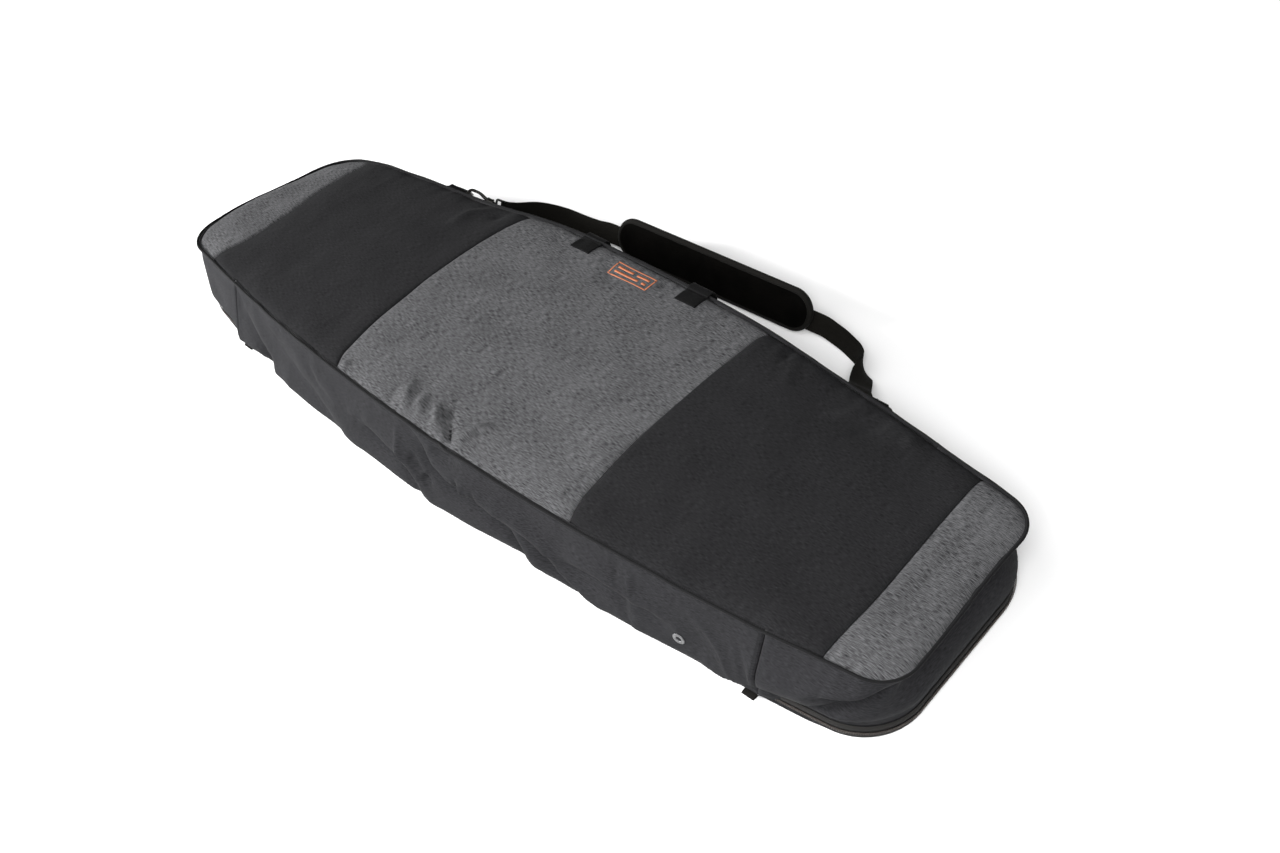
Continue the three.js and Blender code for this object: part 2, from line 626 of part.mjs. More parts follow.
// The webbing runs straight beside the pad, stands on its edge on the ground past both ends of it, and
// turns to lie as the hooks' eyes do. lie is 0 where it leans like the pad and 1 where it lies like an eye.
function webbingStations() {
  const upright = padPoint(0, 0, 1).sub(padPoint(0, 0, 0));
  const station = (at, lie, end) => ({
    at,
    across: upright.clone().lerp(end.across, lie).normalize(),
    width: WEB_WIDTH,
    thickness: WEB_THICKNESS,
  });
  const eyeStation = (end) => {
    const { start, along } = hookAxis(end);
    return station(start.addScaledVector(along, HOOK.eyeBar + 3.8), 1, end);
  };
  const left = [
    [-369, 281, 67.5, 0.8],
    [-351, 303, 58, 0.5],
    [-330, 321, 47, 0.25],
    [-304, 336, 36.5, 0.1],
    [-272, 347.5, 29, 0],
    [-243, 354.5, 26.3, 0],
  ].map(([x, y, z, lie]) => station(vec(x, y, z), lie, ENDS.left));
  const right = [
    [262, 377, 24.3, 0],
    [284, 371.5, 22.3, 0],
    [304, 364.5, 21, 0],
    [321, 356, 20.5, 0],
    [336, 346.5, 20.5, 0],
    [350, 334, 21, 0.15],
    [363, 319.5, 23.5, 0.4],
    [376, 303, 27.5, 0.75],
    [388, 285.5, 32.5, 1],
  ].map(([x, y, z, lie]) => station(vec(x, y, z), lie, ENDS.right));
  const besidePad = [-228, 228].map((x) => station(padPoint(x, 0, -WEB_DROP), 0, ENDS.left));
  return [eyeStation(ENDS.left), ...left, ...besidePad, ...right, eyeStation(ENDS.right)];
}

// A stadium with its long axis on X, in the XZ plane.
function stadium(length, width) {
  const radius = width / 2;
  const straight = length / 2 - radius;
  const path = new THREE.Shape();
  path.moveTo(-straight, -radius);
  path.lineTo(straight, -radius);
  path.absarc(straight, 0, radius, -Math.PI / 2, Math.PI / 2, false);
  path.lineTo(-straight, radius);
  path.absarc(-straight, 0, radius, Math.PI / 2, 1.5 * Math.PI, false);
  return path;
}

const BINDING = 3.2;
const SLEEVE_LENGTH = 310;

// The pad stands beside the webbing. A cloth sleeve sewn to its back, nearly as wide as the pad, holds
// the webbing, which can slide in it.
function makePad() {
  const pad = new THREE.Group();
  pad.position.copy(padPoint(0, 0, 0));
  pad.rotation.set(PAD_PLACE.lean, 0, PAD_PLACE.turn, "ZYX");
  const back = -WEB_THICKNESS / 2 - 0.5;
  const front = back - PAD.thickness;
  const cover = new THREE.ExtrudeGeometry(stadium(PAD.length - 2 * BINDING, PAD.width - 2 * BINDING), {
    depth: PAD.thickness,
    bevelEnabled: false,
    curveSegments: 8,
  }).rotateX(Math.PI / 2);
  addPart(pad, "pad_cover", cover.translate(0, back, 0), padCloth);

  const rim = pathPoints(stadium(PAD.length, PAD.width), 8);
  const inner = pathPoints(stadium(PAD.length - 2 * BINDING + 2 * GAP, PAD.width - 2 * BINDING + 2 * GAP), 8);
  const sections = rim.map((p, i) => [
    vec(p.x, back - 1, p.y),
    vec(p.x, front + 1, p.y),
    vec(inner[i].x, front - 0.6, inner[i].y),
    vec(inner[i].x, back, inner[i].y),
  ]);
  addPart(pad, "pad_binding", loft(sections, true), blackTape);

  const lift = back + GAP;
  const crown = WEB_THICKNESS / 2 + 0.6;
  const tall = PAD.width / 2 - BINDING - 5;
  const channel = new THREE.Shape(
    [
      [lift, -tall - 4],
      [lift, -tall],
      [crown, -tall],
      [crown, tall],
      [lift, tall],
      [lift, tall + 4],
      [crown + 1.4, tall + 1.4],
      [crown + 1.4, -tall - 1.4],
    ].map(([y, z]) => new THREE.Vector2(y, z)),
  );
  const sleeve = new THREE.ExtrudeGeometry(channel, { depth: SLEEVE_LENGTH, bevelEnabled: false });
  sleeve.applyMatrix4(new THREE.Matrix4().makeBasis(vec(0, 1, 0), vec(0, 0, 1), vec(1, 0, 0)));
  addPart(pad, "pad_sleeve", sleeve.translate(-SLEEVE_LENGTH / 2, 0, 0), padCloth);
  return pad;
}

// A ladder-shaped slide that lies on the last straight piece of webbing before the right hook.
function slideAdjuster(group, stations) {
  const frame = box(-13.5, 13.5, -WEB_WIDTH / 2 - 4, WEB_WIDTH / 2 + 4, 0, 2.6);
  const slots = [-11, 2].map((x) => box(x, x + 9, -WEB_WIDTH / 2 - 0.5, WEB_WIDTH / 2 + 0.5, -1, 4));
  const [before, last] = stations.slice(-2);
  const along = vec(0, 0, 0).subVectors(last.at, before.at).normalize();
  const across = last.across.clone().addScaledVector(along, -last.across.dot(along)).normalize();
  const face = vec(0, 0, 0).crossVectors(along, across);
  const adjuster = addPart(group, "slide_adjuster", cut(frame, ...slots), gunmetal);
  adjuster.position.lerpVectors(before.at, last.at, 0.5).addScaledVector(face, WEB_THICKNESS / 2 + 0.8);
  adjuster.quaternion.setFromRotationMatrix(new THREE.Matrix4().makeBasis(along, across, face));
}

function makeStrap() {
  const strap = new THREE.Group();
  const stations = webbingStations();
  addPart(strap, "strap_webbing", strip(stations), webbing);
  slideAdjuster(strap, stations);
  addHooks(strap);
  strap.add(makePad());
  return strap;
}

// ---------------------------------------------------------------- the whole bag
const bag = new THREE.Group();
const lid = new THREE.Group();
frontPanel(lid);
frontPiping(lid);
gussets(lid);
handleAnchors(lid);
for (const [name, { side }] of Object.entries(ENDS)) addPart(lid, `d_ring_tab_${name}`, dRingTab(side), webbing);
addDRings(lid);
addPart(lid, "carry_handle", carryHandle(), webbing);
bag.add(makeBase(), makeSliders(), lid, makeStrap());

export default bag;
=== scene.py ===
# Visual model of a padded board bag that lies on its back panel, with a shoulder strap beside it.
# Lengths are millimetres in the frame of the CAD model and become metres in new_mesh().
import math

import bpy
import numpy as np
from mathutils import Matrix, Vector


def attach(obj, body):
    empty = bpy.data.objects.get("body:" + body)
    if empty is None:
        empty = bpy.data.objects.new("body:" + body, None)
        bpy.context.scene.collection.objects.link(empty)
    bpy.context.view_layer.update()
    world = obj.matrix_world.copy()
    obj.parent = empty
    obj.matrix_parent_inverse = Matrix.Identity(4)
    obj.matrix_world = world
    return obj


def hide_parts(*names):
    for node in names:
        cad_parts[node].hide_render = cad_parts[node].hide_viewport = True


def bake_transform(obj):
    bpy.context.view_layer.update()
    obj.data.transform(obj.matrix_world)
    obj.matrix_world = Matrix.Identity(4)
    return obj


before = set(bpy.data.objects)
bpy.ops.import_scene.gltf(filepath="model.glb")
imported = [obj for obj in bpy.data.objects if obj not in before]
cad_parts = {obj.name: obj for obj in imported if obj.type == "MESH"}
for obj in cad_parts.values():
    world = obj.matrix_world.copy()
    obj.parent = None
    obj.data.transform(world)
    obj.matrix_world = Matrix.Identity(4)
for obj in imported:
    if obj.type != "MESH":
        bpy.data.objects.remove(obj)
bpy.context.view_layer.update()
scene = bpy.context.scene
MM = 0.001

# ---------------------------------------------------------------- camera
# The camera stands at the near right, above the bag, and is rolled a little.
CAMERA_PLACE = Vector((1.17520, -0.82962, 1.45011))
CAMERA_FORWARD = Vector((-0.52569707, 0.44262898, -0.72644488)).normalized()
CAMERA_ROLL = math.radians(-10.26)
SENSOR_WIDTH, FOCAL_LENGTH = 36.0, 35.88
camera_data = bpy.data.cameras.new("camera")
camera_data.sensor_width = SENSOR_WIDTH
camera_data.lens = FOCAL_LENGTH
camera_data.clip_start = 0.05
camera_data.clip_end = 50
camera = bpy.data.objects.new("camera", camera_data)
scene.collection.objects.link(camera)
camera.rotation_mode = "QUATERNION"
camera.location = CAMERA_PLACE
level_right = CAMERA_FORWARD.cross(Vector((0, 0, 1))).normalized()
level_up = level_right.cross(CAMERA_FORWARD)
turned_right = level_right * math.cos(CAMERA_ROLL) + level_up * math.sin(CAMERA_ROLL)
turned_up = level_up * math.cos(CAMERA_ROLL) - level_right * math.sin(CAMERA_ROLL)
axes = Matrix((turned_right, turned_up, -CAMERA_FORWARD)).transposed()
camera.rotation_quaternion = axes.to_quaternion()
scene.camera = camera

# ---------------------------------------------------------------- dimensions, most of them the CAD model's
HALF_LENGTH = 746.0
TOP_HALF_WIDTH, BASE_HALF_WIDTH = 222.0, 238.0
SIDE_RADIUS = 4518.0
TOP_CORNER, BASE_CORNER = 55.0, 90.0
FAR_RIGHT_BASE_CORNER = 104.0  # seen past the lid's edge, the base is rounder here
FAR_LEFT_CORNER = 84.0  # the panel's far left corner is rounder than the others
TOP_SEAM_Z, FLARE_END_Z = 128.0, 30.0
GUSSET_BOTTOM_Z = 11.1
PANEL_SEAMS = (-651.0, -258.0, 258.0, 651.0)
GUSSET_SEAM_X = 574.0
HANDLE_X = 114.0
D_RING_X, D_RING_Y, D_RING_Z = 452.0, 220.0, 113.0
WEB_WIDTH, WEB_THICKNESS = 38.0, 2.2
ZIP_MIDDLE_Z = 12.55
EYELETS = {"left": -474.0, "right": 454.0}
EYELET_Z = 44.0
SIDES = {"left": -1, "right": 1}


# ---------------------------------------------------------------- small numeric tools
def step_between(x, low, high):
    """0 below low, 1 above high, and smooth between."""
    t = np.clip((np.asarray(x, float) - low) / (high - low), 0, 1)
    return t * t * (3 - 2 * t)


def hump(x, centre, width):
    return np.exp(-(((np.asarray(x, float) - centre) / width) ** 2))


NOISE_TABLE = (97, 89)


def soft_noise(x, y, seed):
    """Smooth noise of about -1 to 1 with a cell of 1, the same on every run."""
    table = np.random.RandomState(seed).uniform(-1, 1, NOISE_TABLE)
    x, y = np.broadcast_arrays(np.asarray(x, float), np.asarray(y, float))
    ix, iy = np.floor(x).astype(int), np.floor(y).astype(int)
    fx, fy = x - ix, y - iy
    fx, fy = fx * fx * (3 - 2 * fx), fy * fy * (3 - 2 * fy)

    def along_row(j):
        j = j % NOISE_TABLE[1]
        return table[ix % NOISE_TABLE[0], j] * (1 - fx) + table[(ix + 1) % NOISE_TABLE[0], j] * fx

    return along_row(iy) * (1 - fy) + along_row(iy + 1) * fy


def nearest_on(u, v, line):
    """Distance to a line of points, which side of it (1 above), and how strong a fold along it is there."""
    best = np.full(np.broadcast(u, v).shape, 1e9)
    side, along = np.ones_like(best), np.zeros_like(best)
    total = sum(math.dist(a, b) for a, b in zip(line, line[1:]))
    done = 0.0
    for (u0, v0), (u1, v1) in zip(line, line[1:]):
        length = math.dist((u0, v0), (u1, v1))
        du, dv = u1 - u0, v1 - v0
        clipped = np.clip(((u - u0) * du + (v - v0) * dv) / length**2, 0, 1)
        distance = np.hypot(u - u0 - clipped * du, v - v0 - clipped * dv)
        nearer = distance < best
        best = np.where(nearer, distance, best)
        side = np.where(nearer, np.sign(du * (v - v0) - dv * (u - u0) + 1e-9), side)
        along = np.where(nearer, (done + clipped * length) / total, along)
        done += length
    return best, side, np.sin(np.pi * np.clip(along, 0.03, 0.97)) ** 0.6


def fold_field(u, v, line, height, width):
    """A ridge, or a furrow if height is negative, that follows a line of points and fades at its ends."""
    distance, _, strength = nearest_on(u, v, line)
    return height * strength * (1 + (distance / width) ** 2) ** -1.5


def drape_field(u, v, line, height, below, above):
    """Cloth that stands out above a line and falls back under it."""
    distance, side, strength = nearest_on(u, v, line)
    t = distance / np.where(side > 0, above, below)
    return height * strength * side * t * np.exp(0.5 * (1 - t * t))


def unit(v):
    v = np.asarray(v, float)
    return v / np.maximum(np.linalg.norm(v, axis=-1, keepdims=True), 1e-12)


def distances_along(path):
    """How far along a line each of its points lies."""
    return np.concatenate([[0], np.cumsum(np.linalg.norm(np.diff(path, axis=0), axis=1))])


def circle_points(a, b, radius, start, end, count):
    """Points on an arc about (a, b), with angles in radians."""
    return [(a + radius * math.cos(t), b + radius * math.sin(t)) for t in np.linspace(start, end, count)]


# ---------------------------------------------------------------- mesh tools
def new_mesh(name, points, faces, materials, uv=None, face_material=None):
    """A mesh object from points in millimetres. uv holds one pair per point, in metres."""
    points = np.asarray(points, float).reshape(-1, 3)
    mesh = bpy.data.meshes.new(name)
    mesh.from_pydata((points * MM).tolist(), [], [list(map(int, f)) for f in faces])
    for material in materials if isinstance(materials, (list, tuple)) else [materials]:
        mesh.materials.append(material)
    if uv is not None:
        uv = np.asarray(uv, float).reshape(-1, 2)
        corners = np.zeros(len(mesh.loops), int)
        mesh.loops.foreach_get("vertex_index", corners)
        layer = mesh.uv_layers.new(name="cloth")
        layer.data.foreach_set("uv", uv[corners].astype(np.float32).ravel())
    if face_material is not None:
        mesh.polygons.foreach_set("material_index", np.asarray(face_material, np.int32))
    mesh.polygons.foreach_set("use_smooth", np.full(len(mesh.polygons), True))
    mesh.update()
    obj = bpy.data.objects.new(name, mesh)
    scene.collection.objects.link(obj)
    return obj


def grid_faces(rows, cols, loop_rows=False, loop_cols=False):
    i = np.arange(rows if loop_rows else rows - 1)[:, None]
    j = np.arange(cols if loop_cols else cols - 1)[None, :]
    a = i * cols + j
    b = i * cols + (j + 1) % cols
    c = (i + 1) % rows * cols + (j + 1) % cols
    d = (i + 1) % rows * cols + j
    return np.stack([a, b, c, d], -1).reshape(-1, 4)


def tube_faces(rows, cols, closed=False, turn=-1):
    """Faces of a tube whose columns go round it, with flat ends if its rows are open. turn is the winding."""
    faces = [list(f)[::turn] for f in grid_faces(rows, cols, closed, True)]
    if not closed:
        faces += [list(range(cols))[::-turn], list(range((rows - 1) * cols, rows * cols))[::turn]]
    return faces


def spread_uv(along, across):
    """UV pairs in metres for a grid, from distances along its rows and across its columns."""
    return np.stack(np.broadcast_arrays(np.asarray(along)[:, None] * MM, np.asarray(across)[None] * MM), -1)


def grid_uv(grid):
    """UV pairs from a grid's own distances, so that a weave keeps its scale."""
    along = np.linalg.norm(np.diff(grid, axis=0), axis=-1).mean(1)
    across = np.linalg.norm(np.diff(grid, axis=1), axis=-1).mean(0)
    return spread_uv(np.concatenate([[0], np.cumsum(along)]), np.concatenate([[0], np.cumsum(across)]))


def cloth_shell(name, grid, thickness, outer, inner, uv=None, inward=1):
    """A closed cloth from its outer face. inward is 1 or -1, whichever side of the grid its back is on."""
    rows, cols = grid.shape[:2]
    count = rows * cols
    normals = unit(np.cross(np.gradient(grid, axis=0), np.gradient(grid, axis=1)))
    back = grid - inward * thickness * normals
    front_faces = grid_faces(rows, cols)
    back_faces = front_faces[:, ::-1] + count
    rim = []
    for order, line in (
        (1, np.arange(rows) * cols), (-1, np.arange(rows) * cols + cols - 1),
        (-1, np.arange(cols)), (1, np.arange(cols) + (rows - 1) * cols),
    ):
        rim += [[a, b, b + count, a + count][::order] for a, b in zip(line, line[1:])]
    faces = [list(f)[::inward] for f in [*front_faces, *back_faces, *rim]]
    which = [0] * len(front_faces) + [1] * (len(back_faces) + len(rim))
    uv = (grid_uv(grid) if uv is None else uv).reshape(-1, 2)
    points = np.concatenate([grid.reshape(-1, 3), back.reshape(-1, 3)])
    return new_mesh(name, points, faces, [outer, inner], np.concatenate([uv, uv]), which)


def smooth_path(points, spacing):
    """A Catmull-Rom curve through points of any width, at about even spacing."""
    points = np.asarray(points, float)
    padded = np.concatenate([2 * points[:1] - points[1:2], points, 2 * points[-1:] - points[-2:-1]])
    out = []
    for i in range(1, len(padded) - 2):
        p0, p1, p2, p3 = padded[i - 1 : i + 3]
        steps = max(2, int(math.ceil(np.linalg.norm((p2 - p1)[:3]) / spacing)))
        for t in np.arange(steps) / steps:
            out.append(
                0.5 * (2 * p1 + (p2 - p0) * t + (2 * p0 - 5 * p1 + 4 * p2 - p3) * t**2
                       + (3 * p1 - p0 - 3 * p2 + p3) * t**3)
            )
    out.append(padded[-2])
    return np.array(out)


def path_frames(path, hint, closed=False):
    """Tangent, side and face directions along a path. hint is the way that side leans, one or per point."""
    if closed:
        along = unit(np.roll(path, -1, 0) - np.roll(path, 1, 0))
    else:
        along = unit(np.gradient(path, axis=0))
    hint = np.broadcast_to(np.asarray(hint, float), path.shape)
    side = unit(hint - (hint * along).sum(-1, keepdims=True) * along)
    return along, side, np.cross(along, side)


def sweep(name, path, hint, section, material, closed=False, scale=None):
    """Sweeps a closed flat section of (side, face) points along a path, with flat ends if it's open."""
    path, section = np.asarray(path, float), np.asarray(section, float)
    _, side, face = path_frames(path, hint, closed)
    scale = np.ones(len(path)) if scale is None else scale
    sized = section[None] * scale[:, None, None]
    grid = path[:, None] + side[:, None] * sized[..., :1] + face[:, None] * sized[..., 1:]
    uv = spread_uv(distances_along(path), distances_along(section))
    return new_mesh(name, grid, tube_faces(*grid.shape[:2], closed), material, uv)


def circle(radius, sides=12):
    turn = 2 * np.pi * np.arange(sides) / sides
    return np.stack([radius * np.cos(turn), radius * np.sin(turn)], -1)


def flat_section(width, thickness, ribs=0, rib=0.0, steps=26):
    """A webbing's cross-section: round edges, and ribs that run along it on both faces."""
    half, t = width / 2, thickness / 2
    turn = np.linspace(np.pi / 2, -np.pi / 2, 7)[1:-1]
    across = np.linspace(-half + t, half - t, steps)
    wave = rib * np.cos(2 * np.pi * ribs * (across + half) / width) if ribs else 0 * across
    top = np.stack([across, t + wave], -1)
    right = np.stack([half - t + t * np.cos(turn), t * np.sin(turn)], -1)
    bottom = np.stack([across[::-1], -t - wave[::-1]], -1)
    left = np.stack([-half + t - t * np.cos(turn), -t * np.sin(turn)], -1)
    return np.concatenate([top, right, bottom, left])[::-1]


def lathe(name, profile, origin, axis, material, steps):
    """Turns a closed outline of (radius, height) points about an axis."""
    axis = unit(axis)
    helper = np.array([0.0, 0, 1]) if abs(axis[2]) < 0.9 else np.array([1.0, 0, 0])
    x = unit(np.cross(axis, helper))
    y = np.cross(axis, x)
    turn = 2 * np.pi * np.arange(steps) / steps
    ring = np.cos(turn)[:, None] * x + np.sin(turn)[:, None] * y
    profile = np.asarray(profile, float)
    grid = np.asarray(origin) + ring[:, None] * profile[None, :, :1] + axis * profile[None, :, 1:]
    return new_mesh(name, grid, grid_faces(steps, len(profile), True, True), material)


def joined(name, parts):
    """One object from several."""
    bpy.ops.object.select_all(action="DESELECT")
    for part in parts:
        part.select_set(True)
    bpy.context.view_layer.objects.active = parts[0]
    bpy.ops.object.join()
    parts[0].name = name
    parts[0].data.name = name
    return parts[0]


def bevelled(obj, width):
    """The same object with its sharp edges rounded, and no modifier left on it."""
    bevel = obj.modifiers.new("edge", "BEVEL")
    bevel.width, bevel.segments, bevel.limit_method = width * MM, 2, "ANGLE"
    bevel.angle_limit = math.radians(40)
    made = bpy.data.meshes.new_from_object(obj.evaluated_get(bpy.context.evaluated_depsgraph_get()))
    obj.modifiers.clear()
    obj.data = made
    return obj


# ---------------------------------------------------------------- materials
def texture_base(name, roughness, metallic=0.0, specular=0.4):
    material = bpy.data.materials.new(name)
    material.use_nodes = True
    tree = material.node_tree
    shader = tree.nodes["Principled BSDF"]
    shader.inputs["Roughness"].default_value = roughness
    shader.inputs["Metallic"].default_value = metallic
    shader.inputs["Specular IOR Level"].default_value = specular
    return material, tree, shader


def noise_at(tree, coordinates, scale, detail, rough, stretch=(1, 1, 1)):
    mapping = tree.nodes.new("ShaderNodeMapping")
    mapping.inputs["Scale"].default_value = stretch
    tree.links.new(coordinates, mapping.inputs["Vector"])
    noise = tree.nodes.new("ShaderNodeTexNoise")
    noise.inputs["Scale"].default_value = scale
    noise.inputs["Detail"].default_value = detail
    noise.inputs["Roughness"].default_value = rough
    tree.links.new(mapping.outputs["Vector"], noise.inputs["Vector"])
    return noise.outputs["Fac"]


def band_at(tree, coordinates, direction, pitch, distort):
    """Fine parallel threads, one every pitch millimetres."""
    wave = tree.nodes.new("ShaderNodeTexWave")
    wave.wave_type, wave.bands_direction = "BANDS", direction
    wave.inputs["Scale"].default_value = 2 * math.pi / (20 * pitch * MM)
    wave.inputs["Distortion"].default_value = distort
    tree.links.new(coordinates, wave.inputs["Vector"])
    return wave.outputs["Fac"]


def maths(tree, operation, a, b):
    node = tree.nodes.new("ShaderNodeMath")
    node.operation = operation
    for socket, value in zip(node.inputs, (a, b)):
        if isinstance(value, (int, float)):
            socket.default_value = value
        else:
            tree.links.new(value, socket)
    return node.outputs["Value"]


def weighted_sum(tree, *values_and_weights):
    weighted = [maths(tree, "MULTIPLY", value, weight) for value, weight in values_and_weights]
    total = weighted[0]
    for value in weighted[1:]:
        total = maths(tree, "ADD", total, value)
    return total


def ramp(tree, fac, stops):
    node = tree.nodes.new("ShaderNodeValToRGB")
    elements = node.color_ramp.elements
    while len(elements) < len(stops):
        elements.new(0.5)
    for element, (position, colour) in zip(elements, stops):
        element.position = position
        element.color = (*colour, 1)
    tree.links.new(fac, node.inputs["Fac"])
    return node.outputs["Color"]


def bump_of(tree, height, distance, strength, below=None):
    bump = tree.nodes.new("ShaderNodeBump")
    bump.inputs["Strength"].default_value = strength
    bump.inputs["Distance"].default_value = distance * MM
    tree.links.new(height, bump.inputs["Height"])
    if below is not None:
        tree.links.new(below, bump.inputs["Normal"])
    return bump.outputs["Normal"]


def add_sheen(shader, weight, roughness):
    shader.inputs["Sheen Weight"].default_value = weight
    shader.inputs["Sheen Roughness"].default_value = roughness


def woven(name, dark, light, streak, roughness=0.85, sheen=0.01, pitch=0.7, contrast=1.0, flecks=False):
    """Woven cloth. streak is the length and thickness of its slubs in millimetres."""
    material, tree, shader = texture_base(name, roughness, specular=0.05)
    uv = tree.nodes.new("ShaderNodeTexCoord").outputs["UV"]
    long, thin = (1 / (s * MM) for s in streak)
    slubs = noise_at(tree, uv, 1.0, 2.0, 0.55, (long, thin, 1))
    grain = noise_at(tree, uv, 1500, 2.0, 0.6)
    cross = noise_at(tree, uv, 1.0, 2.0, 0.6, (thin * 0.9, long * 1.6, 1))
    clouds = noise_at(tree, uv, 14, 3.0, 0.5)
    tone = weighted_sum(tree, (slubs, 0.66), (cross, 0.08), (grain, 0.16), (clouds, 0.10))
    spread = 0.17 / contrast
    colour = ramp(tree, tone, [(0.5 - spread, dark), (0.5 + spread, light)])
    if flecks:
        speck = noise_at(tree, uv, 420, 1.0, 0.5)
        mask = ramp(tree, speck, [(0.77, (0, 0, 0)), (0.80, (1, 1, 1))])
        mix = tree.nodes.new("ShaderNodeMix")
        mix.data_type = "RGBA"
        tree.links.new(mask, mix.inputs["Factor"])
        tree.links.new(colour, mix.inputs[6])
        mix.inputs[7].default_value = (*(min(1, 2.2 * c) for c in light), 1)
        colour = mix.outputs[2]
    tree.links.new(colour, shader.inputs["Base Color"])
    threads = maths(tree, "MULTIPLY", band_at(tree, uv, "X", pitch, 0.6), band_at(tree, uv, "Y", pitch, 0.6))
    height = maths(tree, "ADD", threads, maths(tree, "MULTIPLY", slubs, 0.7))
    soft = bump_of(tree, noise_at(tree, uv, 19, 3.0, 0.5), 2.4, 0.10)
    tree.links.new(bump_of(tree, height, 0.22, 0.35, soft), shader.inputs["Normal"])
    rough = ramp(tree, grain, [(0.2, (roughness - 0.08,) * 3), (0.8, (min(1, roughness + 0.08),) * 3)])
    tree.links.new(rough, shader.inputs["Roughness"])
    add_sheen(shader, sheen, 0.45)
    return material


def grosgrain(name, dark, light, rib_pitch, sheen=0.02, specular=0.06):
    """Narrow webbing with ribs along it and fine cross threads."""
    material, tree, shader = texture_base(name, 0.75, specular=specular)
    uv = tree.nodes.new("ShaderNodeTexCoord").outputs["UV"]
    ribs = band_at(tree, uv, "Y", rib_pitch, 0.3)
    cross = band_at(tree, uv, "X", 0.9, 0.8)
    worn = noise_at(tree, uv, 1.0, 3.0, 0.6, (30, 900, 1))
    grain = noise_at(tree, uv, 900, 2.0, 0.6)
    tone = weighted_sum(tree, (ribs, 0.30), (worn, 0.45), (grain, 0.25))
    tree.links.new(ramp(tree, tone, [(0.28, dark), (0.72, light)]), shader.inputs["Base Color"])
    height = maths(tree, "ADD", ribs, maths(tree, "MULTIPLY", cross, 0.5))
    tree.links.new(bump_of(tree, height, 0.25, 0.5), shader.inputs["Normal"])
    add_sheen(shader, sheen, 0.4)
    return material


def napped(name, dark, light, sheen, tint):
    """Brushed or velvety cloth: nearly black face on, lighter where it curves away."""
    material, tree, shader = texture_base(name, 0.95, specular=0.02)
    where = tree.nodes.new("ShaderNodeTexCoord").outputs["Object"]
    patches = noise_at(tree, where, 26, 4.0, 0.6)
    nap = noise_at(tree, where, 1100, 2.0, 0.7)
    tone = weighted_sum(tree, (patches, 0.6), (nap, 0.4))
    tree.links.new(ramp(tree, tone, [(0.35, dark), (0.68, light)]), shader.inputs["Base Color"])
    tree.links.new(bump_of(tree, nap, 0.35, 0.4), shader.inputs["Normal"])
    add_sheen(shader, sheen, 0.35)
    shader.inputs["Sheen Tint"].default_value = (*tint, 1)
    return material


def metal(name, dark, light, roughness):
    """Cast or plated metal with fine wear."""
    material, tree, shader = texture_base(name, roughness, metallic=1.0, specular=0.5)
    where = tree.nodes.new("ShaderNodeTexCoord").outputs["Object"]
    wear = noise_at(tree, where, 260, 4.0, 0.6)
    fine = noise_at(tree, where, 1800, 2.0, 0.5)
    tree.links.new(ramp(tree, wear, [(0.3, dark), (0.7, light)]), shader.inputs["Base Color"])
    rough = ramp(tree, wear, [(0.3, (roughness + 0.12,) * 3), (0.7, (roughness - 0.06,) * 3)])
    tree.links.new(rough, shader.inputs["Roughness"])
    tree.links.new(bump_of(tree, fine, 0.05, 0.3), shader.inputs["Normal"])
    return material


def plastic(name, dark, light, roughness):
    """Moulded nylon, a printed mark or cut foam: slightly uneven in colour, with a fine grain."""
    material, tree, shader = texture_base(name, roughness)
    where = tree.nodes.new("ShaderNodeTexCoord").outputs["Object"]
    cells = noise_at(tree, where, 700, 3.0, 0.6)
    tree.links.new(ramp(tree, cells, [(0.3, dark), (0.7, light)]), shader.inputs["Base Color"])
    tree.links.new(bump_of(tree, cells, 0.12, 0.3), shader.inputs["Normal"])
    return material


CHARCOAL = woven("charcoal_cloth", (0.0056, 0.0056, 0.0060), (0.0205, 0.0205, 0.0217), (8, 0.9),
                 contrast=1.2, flecks=True)
GUSSET = woven("gusset_cloth", (0.0080, 0.0080, 0.0087), (0.0265, 0.0265, 0.0288), (8, 1.0),
               roughness=0.8, contrast=1.1)
HEATHER = woven("heather_cloth", (0.017, 0.017, 0.018), (0.112, 0.1125, 0.1165), (10, 0.8),
                roughness=0.92, contrast=1.75)
LINING = woven("lining_cloth", (0.009, 0.009, 0.0096), (0.021, 0.021, 0.0224), (2, 2),
               roughness=0.6, sheen=0.1, pitch=1.1)
FOAM = plastic("cut_foam", (0.30, 0.30, 0.28), (0.42, 0.42, 0.39), 0.95)
ZIP_TAPE = grosgrain("zip_tape", (0.012, 0.0115, 0.011), (0.026, 0.025, 0.024), 1.0)
COIL = plastic("coil_nylon", (0.035, 0.029, 0.026), (0.080, 0.066, 0.058), 0.36)
# Painted shade: the piping is coloured far darker than its own grey, which is near the gusset cloth's, so
# that it reads as the shadowed grooves along both its sides.
SHADE_DARKENED_PIPING = grosgrain("piping", (0.0036, 0.0036, 0.0038), (0.0105, 0.0105, 0.0112), 0.9, specular=0.1)
WEBBING = grosgrain("webbing", (0.0028, 0.0026, 0.0021), (0.0088, 0.0080, 0.0065), 1.45, sheen=0.01)
HANDLE_WEB = grosgrain("handle_webbing", (0.0022, 0.0022, 0.0023), (0.0075, 0.0075, 0.0077), 1.3, sheen=0.01)
BINDING = grosgrain("pad_binding", (0.0030, 0.0029, 0.0026), (0.0098, 0.0092, 0.0080), 1.2)
PAD_CLOTH = napped("pad_cloth", (0.0006, 0.0006, 0.0005), (0.0026, 0.0023, 0.0020), 0.02, (0.6, 0.5, 0.42))
GUNMETAL = metal("gunmetal", (0.014, 0.0135, 0.013), (0.040, 0.039, 0.037), 0.32)
NICKEL = metal("nickel", (0.11, 0.11, 0.112), (0.21, 0.21, 0.214), 0.36)
THREAD = grosgrain("thread", (0.012, 0.012, 0.013), (0.036, 0.036, 0.038), 0.5)
DARK_THREAD = grosgrain("dark_thread", (0.006, 0.006, 0.006), (0.018, 0.017, 0.016), 0.5)
